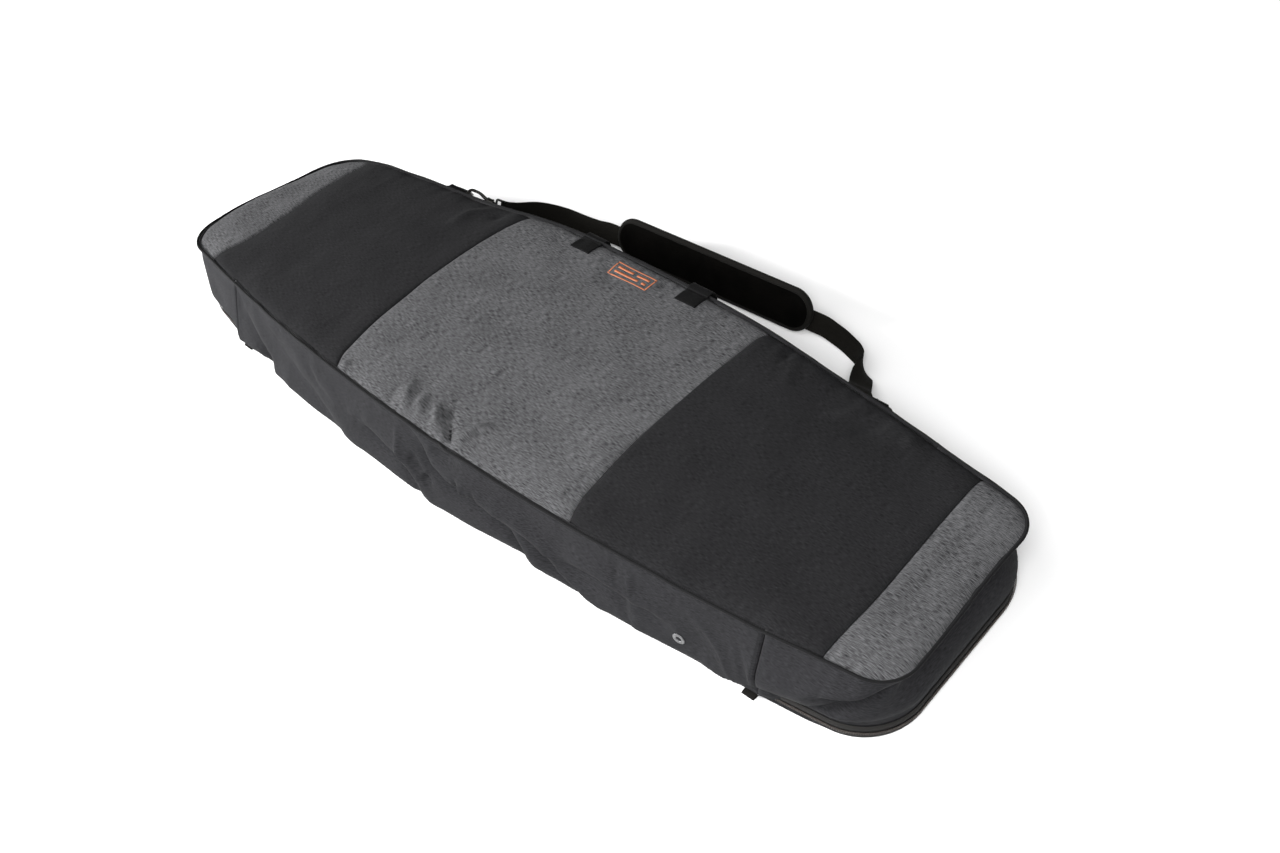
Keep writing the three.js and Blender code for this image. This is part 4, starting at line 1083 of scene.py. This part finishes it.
piece(lid_slab("panel_lining", 113.2, 114.3, 6.0, LINING, quilting), "lid", ["front_lining"])

# ---------------------------------------------------------------- zip
# The tapes' sections: points (height, outward).
LOWER_TAPE = [(1.2, 0.5), (1.2, 1.5), (5.5, 1.7), (10.6, 1.5), (10.6, 0.5), (5.5, 0.6)]
UPPER_TAPE = [(14.6, 0.6), (14.6, 1.5), (20, 1.8), (26.5, 1.6), (26.6, 0.7), (20, 0.7)]
TAPE_STEP = 6.0
COIL_PITCH, COIL_STEPS = 2.6, 8


def tape(name, profile, first, last):
    turns = turns_every(first, last, TAPE_STEP)
    rings = [outline(turns, z, out)[0] for z, out in profile]
    grid = np.stack(rings, 1)
    rows, cols = grid.shape[:2]
    uv = spread_uv(np.arange(rows) * TAPE_STEP, [z for z, _ in profile])
    return new_mesh(name, grid, tube_faces(rows, cols, turn=1), ZIP_TAPE, uv)


def coil(name, middle_z, first, last, lean):
    """A nylon coil: a flattened helix that closes on the zip's middle line."""
    turns = turns_every(first, last, COIL_PITCH / COIL_STEPS)
    phase = 2 * np.pi * np.arange(len(turns)) / COIL_STEPS
    path, _ = outline(turns, 10.0, 3.0 + 1.0 * np.cos(phase))
    path[:, 2] = middle_z + 1.05 * np.sin(phase) - lean * 0.15 * np.cos(phase)
    return sweep(name, path, (0, 0, 1), circle(0.42, 5), COIL)


piece(tape("zip_tape_low", LOWER_TAPE, SEAMS[0], SEAMS[3]), "base", ["zip_tape_lower"])
piece(coil("zip_teeth_low", 11.4, SEAMS[0], SEAMS[3], 1), "base", ["zip_coil_lower"])
for part, first, last in zip(("right", "far", "left"), SEAMS, SEAMS[1:]):
    upper_tape = tape(f"zip_tape_up_{part}", UPPER_TAPE, first, last)
    upper_coil = coil(f"zip_teeth_up_{part}", 13.75, first, last, -1)
    for obj, slot, node in (
        (upper_tape, "zip_tape", "zip_tape_upper"), (upper_coil, "coil_nylon", "zip_coil_upper"),
    ):
        if part == "far":
            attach(obj, "lid")
        else:
            blend_at_end(obj)
        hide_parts(node)


# ---------------------------------------------------------------- thread
# A stitch: how far along it, how high and how thick its rings of five points are, in shares of its size.
STITCH_RINGS = [(0.0, -0.6, 0.5), (0.2, 0.25, 1.0), (0.5, 0.5, 1.05), (0.8, 0.25, 1.0), (1.0, -0.6, 0.5)]


def stitches(name, lines, material, length=2.8, gap=1.5, radius=0.32):
    """Rows of short raised stitches. Each line is (points, outward directions), dense enough to follow."""
    shares, rises, thicks = np.array(STITCH_RINGS).T
    turns = np.radians([0, 72, 144, 216, 288])
    points, faces = [], []
    for path, out in lines:
        travelled = distances_along(path)
        for start in np.arange(0.6, travelled[-1] - length, length + gap):
            where = start + shares * length
            centre, normal = (
                np.stack([np.interp(where, travelled, column) for column in values.T], -1)
                for values in (path, out)
            )
            normal = unit(normal)
            side = unit(np.cross(unit(centre[-1] - centre[0]), normal))
            first = len(points)
            for c, n, w, rise, thick in zip(centre, normal, side, radius * rises, radius * thicks):
                points += [c + n * (rise + thick * math.sin(a)) + w * thick * math.cos(a) for a in turns]
            faces += [[first + i for i in face] for face in tube_faces(5, 5, turn=1)]
    return new_mesh(name, points, faces, material)


def upright_row(seam_turn, side_sign):
    """Two rows of topstitching beside an upright gusset seam."""
    z = np.linspace(122, 15, 60)
    return [gusset_point(np.full_like(z, seam_turn + side_sign * away / PLAIN_X), z) for away in (4.0, 7.2)]


near_rows = upright_row(SEAMS[3] - 10, 1) + upright_row(SEAMS[0], -1)
seam_thread = stitches("thread_near_seams", near_rows, THREAD)
blend_at_hinge(seam_thread)
far_thread = stitches("thread_far_seams", upright_row(SEAMS[1], 1) + upright_row(SEAMS[2], -1), THREAD)
piece(far_thread, "lid")

# ---------------------------------------------------------------- eyelets
for name, x in EYELETS.items():
    # five points of the cloth: middle, above, below, and to the left and right
    turn = math.asin(x / SIDE_RADIUS) / PLAIN_ANGLE
    turns = turn + np.array([0, 0, 0, -0.012, 0.012])
    centre, above, below, left, right = gusset_point(turns, EYELET_Z + np.array([0, 8, -8, 0, 0]))[0]
    axis = unit(np.cross(right - left, above - below))
    t = np.linspace(0, np.pi, 9)
    outer = np.stack([7.0 + 2.5 * np.cos(t), 0.25 + 1.0 * np.sin(t)], -1)
    profile = np.concatenate([outer, [(4.4, -1.0), (4.4, -4.4), (8.2, -4.4), (8.2, -3.9), (9.3, -0.3)]])
    washer = lathe(f"eyelet_ring_{name}", profile, centre, axis, NICKEL, 48)
    middle = EYELET_Z * MM
    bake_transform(washer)
    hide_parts(f"eyelet_{name}")

# ---------------------------------------------------------------- zip end tabs
# The tab folds round the base's near edge: points (beyond the edge, height).
END_TAB = [(-8, 6.5), (3, 7.0), (9, 6.8), (13.5, 5.6), (14.2, 4.4), (12, 3.4), (4, 2.8)]
for name, side in SIDES.items():
    x = side * (GUSSET_SEAM_X - 11.0)
    edge = -float(half_width_at(x, 0.0, far=False))
    path = smooth_path([(x, edge - out, z) for out, z in END_TAB], 1.5)
    tab = sweep(f"zip_tab_{name}", path, (1, 0, 0.04 * side), flat_section(20, 1.4, 6, 0.08, 24), BINDING)
    piece(tab, "base", [f"zip_end_tab_{name}"])


# ---------------------------------------------------------------- sliders and pulls
FAR_CENTRE_Y = BASE_HALF_WIDTH - SIDE_RADIUS
SLIDER_FACE_Y = 242.4
PULL_Y = 246.1


def on_far_side(points, side):
    """Turns points made at mid far side to where a slider is, on the zip's arc."""
    angle = -side * math.asin(17.0 / SIDE_RADIUS)
    c, s = math.cos(angle), math.sin(angle)
    points = np.asarray(points, float) - [0, FAR_CENTRE_Y, 0]
    return points @ np.array([[c, -s, 0], [s, c, 0], [0, 0, 1]]).T + [0, FAR_CENTRE_Y, 0]


def plate_points(shape, y):
    shape = np.asarray(shape, float)
    return np.stack([shape[:, 0], np.full(len(shape), y), shape[:, 1]], -1)


def plate(name, shape, depth, y, side, bevel):
    """A flat outline (x, z) with a depth along y, put on the far side and bevelled."""
    count = len(shape)
    points = np.concatenate([plate_points(shape, y - depth / 2), plate_points(shape, y + depth / 2)])
    faces = [list(range(count)), list(range(count, 2 * count))[::-1]]
    faces += [[(i + 1) % count, i, i + count, (i + 1) % count + count] for i in range(count)]
    return bevelled(new_mesh(name, on_far_side(points, side), faces, NICKEL), bevel)


def rounded_box(x0, x1, z0, z1, radius, steps):
    """Corner by corner, the outline (x, z) of a box with round corners."""
    right, left, top, bottom = x1 - radius, x0 + radius, z1 - radius, z0 + radius
    out = []
    for corner, (x, z) in enumerate(((right, top), (left, top), (left, bottom), (right, bottom))):
        out += circle_points(x, z, radius, corner * math.pi / 2, (corner + 1) * math.pi / 2, steps)
    return out


FACE_SHAPE = [(-5.6, 7.6), (-4.4, 6.7), (4.4, 6.7), (5.6, 7.6), (6.0, 12.5), (5.4, 17.2), (3.6, 18.4),
              (-3.6, 18.4), (-5.4, 17.2), (-6.0, 12.5)]
PULL_REACH, PULL_HALF, PULL_DEPTH = 20.0, 4.2, 1.5
PULL_TIP = circle_points(PULL_REACH - PULL_HALF, 0, PULL_HALF, -math.pi / 2, math.pi / 2, 11)
PULL_OUTER = [(-0.9, 3.6), (-0.9, 0.0), (-0.9, -3.6), (2.5, -4.2), *PULL_TIP, (2.5, 4.2)]
PULL_INNER = [(0.9, 2.6), (0.9, 0.0), (0.9, -2.6), (3.0, -2.6)]
PULL_INNER += [(min(6.6, 3.6 + 0.9 * k), -2.6 + 5.2 * k / 10) for k in range(11)] + [(3.0, 2.6)]
for name, side in SIDES.items():
    face = plate("slider_face", FACE_SHAPE, 1.7, SLIDER_FACE_Y + 1.0, side, 0.5)
    rail = plate("slider_rail", rounded_box(-5.6, 5.6, 6.6, 9.2, 0.8, 3), 2.6, SLIDER_FACE_Y - 0.9, side, 0.3)
    arc = np.array([(3.6 * math.cos(a), SLIDER_FACE_Y + 1.6 + 3.9 * math.sin(a), ZIP_MIDDLE_Z)
                    for a in np.linspace(0, np.pi, 17)])
    bridge = sweep("slider_bridge", on_far_side(arc, side), (0, 0, 1), circle(0.8, 10), NICKEL)
    slider = joined(f"slider_{name}", [face, rail, bridge])
    piece(slider, f"slider_{name}", [f"zip_slider_{name}"])

    # the pull is a flat frame: outer and inner outline, each once in front and once behind
    near_y, far_y = -PULL_DEPTH / 2, PULL_DEPTH / 2
    grid = np.stack([plate_points(shape, y) for shape, y in (
        (PULL_OUTER, near_y), (PULL_OUTER, far_y), (PULL_INNER, far_y), (PULL_INNER, near_y),
    )], 1)
    points = on_far_side(grid.reshape(-1, 3) * [side, 1, 1] + [0, PULL_Y, ZIP_MIDDLE_Z], side)
    pull = bevelled(new_mesh(f"pull_{name}", points, grid_faces(len(grid), 4, True, True), GUNMETAL), 0.3)
    piece(pull, f"pull_{name}", [f"zip_pull_{name}"])


# ---------------------------------------------------------------- carry handle
# The right half of the handle: points (x, y, z), and how far the webbing is folded round itself.
HANDLE_TOP = [
    (HANDLE_X, 226.0, 146.4, 0), (HANDLE_X, 234, 147.0, 0), (HANDLE_X, 240, 145.6, 0),
    (HANDLE_X, 244.4, 140.5, 0), (HANDLE_X, 246.6, 129, 0), (HANDLE_X, 247.5, 108, 0),
    (HANDLE_X - 2, 248.5, 88, 0.05), (HANDLE_X - 9, 250, 70, 0.25), (HANDLE_X - 23, 252.5, 56, 0.6),
    (HANDLE_X - 46, 254, 47.5, 0.9), (HANDLE_X - 75, 254.5, 44.5, 1), (0, 254.8, 43.5, 1),
]
HANDLE_STEP = 3.0
FLAT_WIDTH, FLAT_THICKNESS = 42, 2.2
FOLDED_WIDTH, FOLDED_THICKNESS = 22, 5.2


def carry_handle():
    """Webbing that hangs from both anchors and is folded round itself where the hand goes."""
    right = smooth_path(HANDLE_TOP, HANDLE_STEP)
    left = right[::-1][1:] * [-1, 1, 1, 1]
    left[:, 2] -= 2.6 * step_between(left[:, 2], 100, 140)
    line = np.concatenate([right, left])
    mirror = np.concatenate([np.ones(len(right)), -np.ones(len(left))])
    fold = np.clip(line[:, 3], 0, 1)
    across = np.stack([mirror * np.cos(fold * np.pi / 2), np.sin(fold * np.pi / 2), 0 * fold], -1)
    _, side, face = path_frames(line[:, :3], across)
    section = flat_section(1.0, 0.06, 0, 0, 22)
    rounded = np.sign(section[:, 1]) * np.minimum(np.abs(section[:, 1]) / 0.03, 1)
    grid = []
    for p, s, f, k in zip(line[:, :3], side, face, fold):
        width = FLAT_WIDTH + (FOLDED_WIDTH - FLAT_WIDTH) * k
        thick = FLAT_THICKNESS + (FOLDED_THICKNESS - FLAT_THICKNESS) * k
        depth = rounded * thick / 2 * (1 - 0.25 * k * (2 * section[:, 0]) ** 4)
        grid.append(p + s * section[:, :1] * width + f * depth[:, None])
    grid = np.array(grid)
    uv = spread_uv(np.arange(len(grid)) * HANDLE_STEP, section[:, 0] * FLAT_WIDTH)
    return new_mesh("carry_strap", grid, tube_faces(*grid.shape[:2]), HANDLE_WEB, uv)


handle = carry_handle()
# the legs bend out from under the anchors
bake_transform(handle)
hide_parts("carry_handle")


def patch_height(x, y):
    """The anchors' patches follow the padded panel, and stay above the legs at its far edge."""
    z = panel_height(x, np.minimum(y, 219.0)) + 1.7 + step_between(y, 212, 222) * 0.8
    return np.maximum(z, 140.5 + 5.8 * step_between(y, 206, 220))


# A box and a cross sewn through each anchor: x0, y0, x1, y1.
ANCHOR_ROWS = ((-17, 193, 17, 193), (-17, 213, 17, 213), (-17, 193, -17, 213), (17, 193, 17, 213),
               (-17, 193, 17, 213), (17, 193, -17, 213))
for name, side in SIDES.items():
    ys = np.linspace(190.5, 221.6, 22)
    xs = np.linspace(-20.5, 20.5, 22) + side * HANDLE_X
    y, x = np.meshgrid(ys, xs, indexing="ij")
    grid = slump(np.stack([x, y, patch_height(x, y)], -1))
    uv = np.stack([y, x], -1) * MM
    patch = cloth_shell(f"handle_patch_{name}", grid, 1.7, HANDLE_WEB, HANDLE_WEB, uv, inward=-1)
    piece(patch, "lid", [f"handle_anchor_{name}"])
    rows = []
    for x0, y0, x1, y1 in ANCHOR_ROWS:
        x, y = np.linspace(x0, x1, 14) + side * HANDLE_X, np.linspace(y0, y1, 14)
        rows.append((slump(np.stack([x, y, patch_height(x, y) + 0.1], -1)), np.tile([0.0, 0, 1], (14, 1))))
    piece(stitches(f"thread_patch_{name}", rows, DARK_THREAD, 2.2, 1.2, 0.28), "lid")

# ---------------------------------------------------------------- D-rings and their tabs
RING_STRAIGHT = BOW_RADIUS - BOW_CENTRE
# The ring's middle line from its bar: points (along the bar, outward).
RING_SHAPE = [(t, 0.0) for t in np.linspace(-RING_STRAIGHT, RING_STRAIGHT, 9)]
RING_SHAPE += circle_points(RING_STRAIGHT, BOW_CENTRE, BOW_CENTRE, -math.pi / 2, 0, 6)[1:]
RING_SHAPE += circle_points(0, BOW_CENTRE, BOW_RADIUS, 0, math.pi, 33)[1:]
RING_SHAPE += circle_points(-RING_STRAIGHT, BOW_CENTRE, BOW_CENTRE, math.pi, 1.5 * math.pi, 6)[1:-1]
for name, end in ENDS.items():
    bar, outward = ring_bar(end)
    path = np.array([bar + np.array([a, 0, 0]) + outward * b for a, b in RING_SHAPE])
    ring = sweep(f"ring_{name}", path, np.cross([1, 0, 0], outward), circle(2.25, 14), GUNMETAL, closed=True)
    piece(ring, f"ring_{name}", [f"d_ring_{name}"])

    seam_y = float(half_width_at(D_RING_X - 19, 117.0)) + 0.5
    tab_line = [
        (seam_y + 1.0, 121.5), (seam_y + 6, 120.6), (D_RING_Y - 7, 118.4),
        *circle_points(D_RING_Y, D_RING_Z, 3.85, 2.0, -2.3, 19),
        (D_RING_Y - 8, 113.6), (seam_y + 6, 117.6), (seam_y + 1.0, 118.8),
    ]
    path = smooth_path([(bar[0], y, z) for y, z in tab_line], 1.2)
    tab = sweep(f"ring_tab_{name}", path, (1, 0, 0), flat_section(37.5, 1.7, 9, 0.09, 30), HANDLE_WEB)
    piece(tab, "lid", [f"d_ring_tab_{name}"])


# ---------------------------------------------------------------- snap hooks, gates and swivel eyes
def shares_of(line):
    return np.arange(len(line)) / len(line)


HOOK_BEND = 8.5
HOOK_LINE = [(29, 1.2, 0), (26, 1.9, 0), (22, 3.4, 0), (15, 6.6, 0), (8.5, 8.2, 0)]
HOOK_LINE += [(HOOK_BEND * math.cos(a), HOOK_BEND * math.sin(a), 0) for a in np.radians(range(78, 271, 16))]
HOOK_LINE += [(2.6, -HOOK_BEND, 0), (4.8, -HOOK_BEND, 0)]
GATE_LINE = [(5.2, -8.5, 0), (9.5, -8.6, 0), (15, -8.2, 0), (21, -7.6, 0), (25.6, -6.9, 0)]
THUMB_LINE = [(16, -10.2, 0), (18, -12.0, 0), (19.2, -12.6, 0)]
# The turned parts: points (radius, along the stem).
BARREL = [(3.2, 30), (3.2, 40.0), (5.2, 40.2), (6.2, 39.2), (6.4, 37.5), (5.6, 36.4), (5.6, 32.2),
          (6.4, 31.0), (6.2, 28.4), (5.0, 27.2), (3.4, 27.0), (0.4, 27.0), (0.4, 30)]
STEM = [(0.3, 30.5), (3.0, 30.7), (3.0, 32.0), (2.4, 32.6), (2.4, 44.0), (3.6, 45.0), (3.4, 46.6),
        (0.3, 46.8)]
EYE_HALF = WEB_WIDTH / 2 + 3
for name, end in ENDS.items():
    start, axes = hook_frame(end)
    along, normal = axes[0], axes[2]
    line = smooth_path(HOOK_LINE, 1.4)
    thick = 1 + 0.18 * hump(shares_of(line), 0.12, 0.12)
    thick[-3:] *= [0.92, 0.78, 0.5]
    shank = sweep("hook_shank", line @ axes + start, normal, circle(2.7, 14), GUNMETAL, scale=thick)
    barrel = lathe("hook_barrel", BARREL, start, along, GUNMETAL, 32)
    piece(joined(f"hook_{name}_body", [shank, barrel]), f"hook_{name}", [f"snap_hook_{name}"])

    line = smooth_path(GATE_LINE, 1.0)
    thick = 1 + 0.25 * hump(shares_of(line), 0.75, 0.10)
    gate_bar = sweep("gate_bar", line @ axes + start, normal, circle(1.75, 12), NICKEL, scale=thick)
    thumb = sweep("gate_thumb", np.array(THUMB_LINE) @ axes + start, normal, circle(1.0, 10), NICKEL)
    piece(joined(f"gate_{name}_bar", [gate_bar, thumb]), f"gate_{name}", [f"hook_gate_{name}"])

    across = unit(np.array(end["across"]) - np.dot(end["across"], along) * along)
    eye_outline = rounded_box(EYE_BAR - 12, EYE_BAR, -EYE_HALF, EYE_HALF, 4.0, 6)
    eye_path = np.array([start + along * a + across * b for a, b in eye_outline])
    flat = np.cross(across, along)
    eye_loop = sweep("eye_loop", eye_path, flat, circle(2.1, 12), GUNMETAL, closed=True)
    stem = lathe("eye_stem", STEM, start, along, GUNMETAL, 24)
    piece(joined(f"eye_{name}", [eye_loop, stem]), "strap", [f"swivel_eye_{name}"])

    # the webbing's folded end, sewn back on itself round the eye's outer bar
    web_end, web_inner = (web_path[0], web_path[6]) if name == "left" else (web_path[-1], web_path[-7])
    inward = unit(web_inner - web_end)
    bar_point = start + along * EYE_BAR
    turned = circle_points(0, 0, 3.3, -1.9, 1.9, 13)
    wrap = [bar_point - along * a + flat * b for a, b in turned]
    wrap = [web_end + inward * 14 - flat * 2.4, web_end + inward * 5 - flat * 2.5, *wrap,
            web_end + inward * 5 + flat * 2.5, web_end + inward * 16 + flat * 2.4]
    fold_section = flat_section(WEB_WIDTH - 0.6, 1.7, 9, 0.08, 30)
    end_fold = sweep(f"web_end_{name}", smooth_path(wrap, 1.2), across, fold_section, WEBBING)
    piece(end_fold, "strap")

# ---------------------------------------------------------------- slide adjuster
before, last = stations[-2], stations[-1]
adj_along = unit(last[:3] - before[:3])
adj_across = unit(last[3:] - np.dot(last[3:], adj_along) * adj_along)
adj_face = np.cross(adj_along, adj_across)
adj_place = (before[:3] + last[:3]) / 2 + adj_face * (WEB_THICKNESS / 2 + 0.8)
slide_parts = []
for name, shape, radius, closed in (
    ("slide_frame", rounded_box(-13.2, 13.2, -EYE_HALF, EYE_HALF, 3.0, 5), 1.45, True),
    ("slide_bar", [(-0.5, b) for b in np.linspace(-21, 21, 9)], 1.6, False),
):
    path = np.array([adj_place + adj_along * a + adj_across * b + adj_face * 1.3 for a, b in shape])
    slide_parts.append(sweep(name, path, adj_face, circle(radius, 10), GUNMETAL, closed))
adjuster = joined("strap_slide", slide_parts)
piece(adjuster, "strap", ["slide_adjuster"])


# ---------------------------------------------------------------- shoulder pad
PAD_RADIUS = PAD_WIDTH / 2
PAD_STRAIGHT = PAD_LENGTH / 2 - PAD_RADIUS
PAD_EDGE_POINTS = 148


def pad_outline():
    """The pad's edge, two straights and two half circles, as evenly spaced points (x, z)."""
    half_turn = math.pi * PAD_RADIUS
    out = []
    for s in np.arange(PAD_EDGE_POINTS) / PAD_EDGE_POINTS * (4 * PAD_STRAIGHT + 2 * half_turn):
        if s < 2 * PAD_STRAIGHT:
            out.append((-PAD_STRAIGHT + s, -PAD_RADIUS))
        elif s < 2 * PAD_STRAIGHT + half_turn:
            a = (s - 2 * PAD_STRAIGHT) / PAD_RADIUS - math.pi / 2
            out.append((PAD_STRAIGHT + PAD_RADIUS * math.cos(a), PAD_RADIUS * math.sin(a)))
        elif s < 4 * PAD_STRAIGHT + half_turn:
            out.append((PAD_STRAIGHT - (s - 2 * PAD_STRAIGHT - half_turn), PAD_RADIUS))
        else:
            a = (s - 4 * PAD_STRAIGHT - half_turn) / PAD_RADIUS + math.pi / 2
            out.append((-PAD_STRAIGHT + PAD_RADIUS * math.cos(a), PAD_RADIUS * math.sin(a)))
    return np.array(out)


PAD_OUTLINE = pad_outline()
PAD_CORE = np.stack([np.clip(PAD_OUTLINE[:, 0], -PAD_STRAIGHT, PAD_STRAIGHT), 0 * PAD_OUTLINE[:, 0]], -1)


def pad_ring(inset, y):
    """A ring of the pad at an inset from its edge, all rings with points that match."""
    flat = PAD_CORE + (PAD_OUTLINE - PAD_CORE) * ((PAD_RADIUS - inset) / PAD_RADIUS)
    return np.stack([flat[:, 0], np.full(len(flat), y), flat[:, 1]], -1)


BACK_Y = -WEB_THICKNESS / 2 - 0.5
FRONT_Y = BACK_Y - PAD_THICKNESS
insets = np.array([2.5, 3.4, 5.0, 7.5, 11, 15, 20, 25, 30, 34, 36.6, 37.7])
rings = [pad_ring(inset, BACK_Y - 0.2) for inset in insets[::-1]]
rings += [pad_ring(2.2, (BACK_Y + FRONT_Y) / 2)]
for inset in insets:
    rise = (1 - math.exp(-(inset - 2.0) / 6.0)) * 3.6
    ring = pad_ring(inset, FRONT_Y + 1.8 - rise)
    ring[:, 1] += 0.5 * soft_noise(ring[:, 0] / 40, ring[:, 2] / 22, 51)
    rings.append(ring)
grid = np.stack(rings, 1)
rows, cols = grid.shape[:2]
faces = [list(f) for f in grid_faces(rows, cols, True)]
faces += [[i * cols for i in range(rows)], [i * cols + cols - 1 for i in range(rows)][::-1]]
pad_cover = new_mesh("pad_face", pad_point(grid.reshape(-1, 3)), faces, PAD_CLOTH)
piece(pad_cover, "pad", ["pad_cover"])

# The binding's section: points (inset, y), round the outside and back along the inside.
BINDING_SECTION = [
    (8.2, FRONT_Y - 0.2), (6.6, FRONT_Y - 1.0), (3.6, FRONT_Y - 0.2), (1.2, FRONT_Y + 1.4),
    (0.0, FRONT_Y + 3.8), (0.0, BACK_Y - 3.4), (1.0, BACK_Y - 0.6), (3.4, BACK_Y + 0.35),
    (7.5, BACK_Y + 0.4), (7.6, BACK_Y - 0.3), (3.6, BACK_Y - 0.6), (1.9, BACK_Y - 1.4),
    (1.2, BACK_Y - 3.6), (1.2, FRONT_Y + 4.0), (2.4, FRONT_Y + 2.2), (5.0, FRONT_Y + 1.0),
    (8.0, FRONT_Y + 0.6),
]
grid = np.stack([pad_ring(inset, y) for inset, y in BINDING_SECTION], 1)
grid[:, :4, 1] += 0.35 * soft_noise(grid[:, :1, 0] / 14, grid[:, :1, 2] / 14, 52)
rows, cols = grid.shape[:2]
binding_uv = spread_uv(np.arange(rows) * 6.0, np.arange(cols) * 2.0)
binding_points = pad_point(grid.reshape(-1, 3))
binding = new_mesh("pad_edge", binding_points, tube_faces(rows, cols, closed=True), BINDING, binding_uv)
piece(binding, "pad", ["pad_binding"])

tall = PAD_RADIUS - 8.2
foot = BACK_Y + 0.3
crest = WEB_THICKNESS / 2 + 0.6
sleeve_section = [
    (foot, -tall - 4), (foot, -tall), (crest, -tall + 1), (crest, 0), (crest, tall - 1), (foot, tall),
    (foot, tall + 4), (foot + 1.1, tall + 4), (crest + 1.0, tall + 0.8), (crest + 1.5, 0),
    (crest + 1.0, -tall - 0.8), (foot + 1.1, -tall - 4),
]
grid = np.array([[(x, y, z) for y, z in sleeve_section] for x in np.linspace(-155, 155, 60)])
sleeve = new_mesh("pad_back_sleeve", pad_point(grid.reshape(-1, 3)), tube_faces(*grid.shape[:2]), PAD_CLOTH)
piece(sleeve, "pad", ["pad_sleeve"])

# ---------------------------------------------------------------- plain orange mark between the anchors
# The bars of a frame and what it holds: x0, x1, y0, y1, before a shift towards the near side.
MARK_BARS = ((-38, 44, 209, 211), (-38, 44, 184, 186), (-38, -36, 186, 209), (42, 44, 186, 209),
             (-30, 2, 200, 204), (-30, 20, 191, 195), (10, 36, 200, 204), (28, 36, 191, 195))
MARK_SHIFT = 6.0
mark = []
for x0, x1, y0, y1 in MARK_BARS:
    xs, ys = (np.linspace(low, high, max(3, int((high - low) / 3))) for low, high in ((x0, x1), (y0, y1)))
    x, y = np.meshgrid(xs, ys - MARK_SHIFT, indexing="ij")
    grid = slump(np.stack([x, y, panel_height(x, y) + 0.35], -1))
    mark.append(cloth_shell("mark_bar", grid, 0.3, PRINT, PRINT))
piece(joined("panel_mark", mark), "lid")

# ---------------------------------------------------------------- floor and light
FLOOR_HALF = 60000
WORLD_LIGHT = 0.22
floor_material, _, floor_shader = texture_base("pale_floor", 0.9, specular=0.1)
floor_shader.inputs["Base Color"].default_value = (0.97, 0.97, 0.97, 1)
floor_points = [(a * FLOOR_HALF, b * FLOOR_HALF, 0) for a, b in ((-1, -1), (1, -1), (1, 1), (-1, 1))]
floor = new_mesh("floor", floor_points, [[0, 1, 2, 3]], floor_material)
floor.location.z = -0.0004

world = bpy.data.worlds.new("studio")
scene.world = world
world.use_nodes = True
world.node_tree.nodes["Background"].inputs["Color"].default_value = (1, 1, 1, 1)
world.node_tree.nodes["Background"].inputs["Strength"].default_value = WORLD_LIGHT
scene.view_settings.view_transform = "Standard"


def add_light(name, kind, place, target, power):
    """A light that stands at place, in metres, and shines on target."""
    data = bpy.data.lights.new(name, kind)
    data.energy = power
    light = bpy.data.objects.new(name, data)
    scene.collection.objects.link(light)
    light.location = place
    light.rotation_euler = (Vector(target) - Vector(place)).to_track_quat("-Z", "Y").to_euler()
    return data


key = add_light("key", "AREA", place=(-3.1, -2.3, 1.55), target=(-0.1, 0, 0.05), power=350)
key.shape, key.size = "DISK", 1.1
top = add_light("top", "AREA", place=(1.3, -0.9, 1.6), target=(0.4, 0, 0.05), power=40)
top.shape, top.size = "DISK", 1.0
sun = add_light("wide_soft_light", "SUN", place=(-0.4, -0.7, 1.0), target=(0, 0, 0), power=1.3)
sun.angle = math.radians(50)
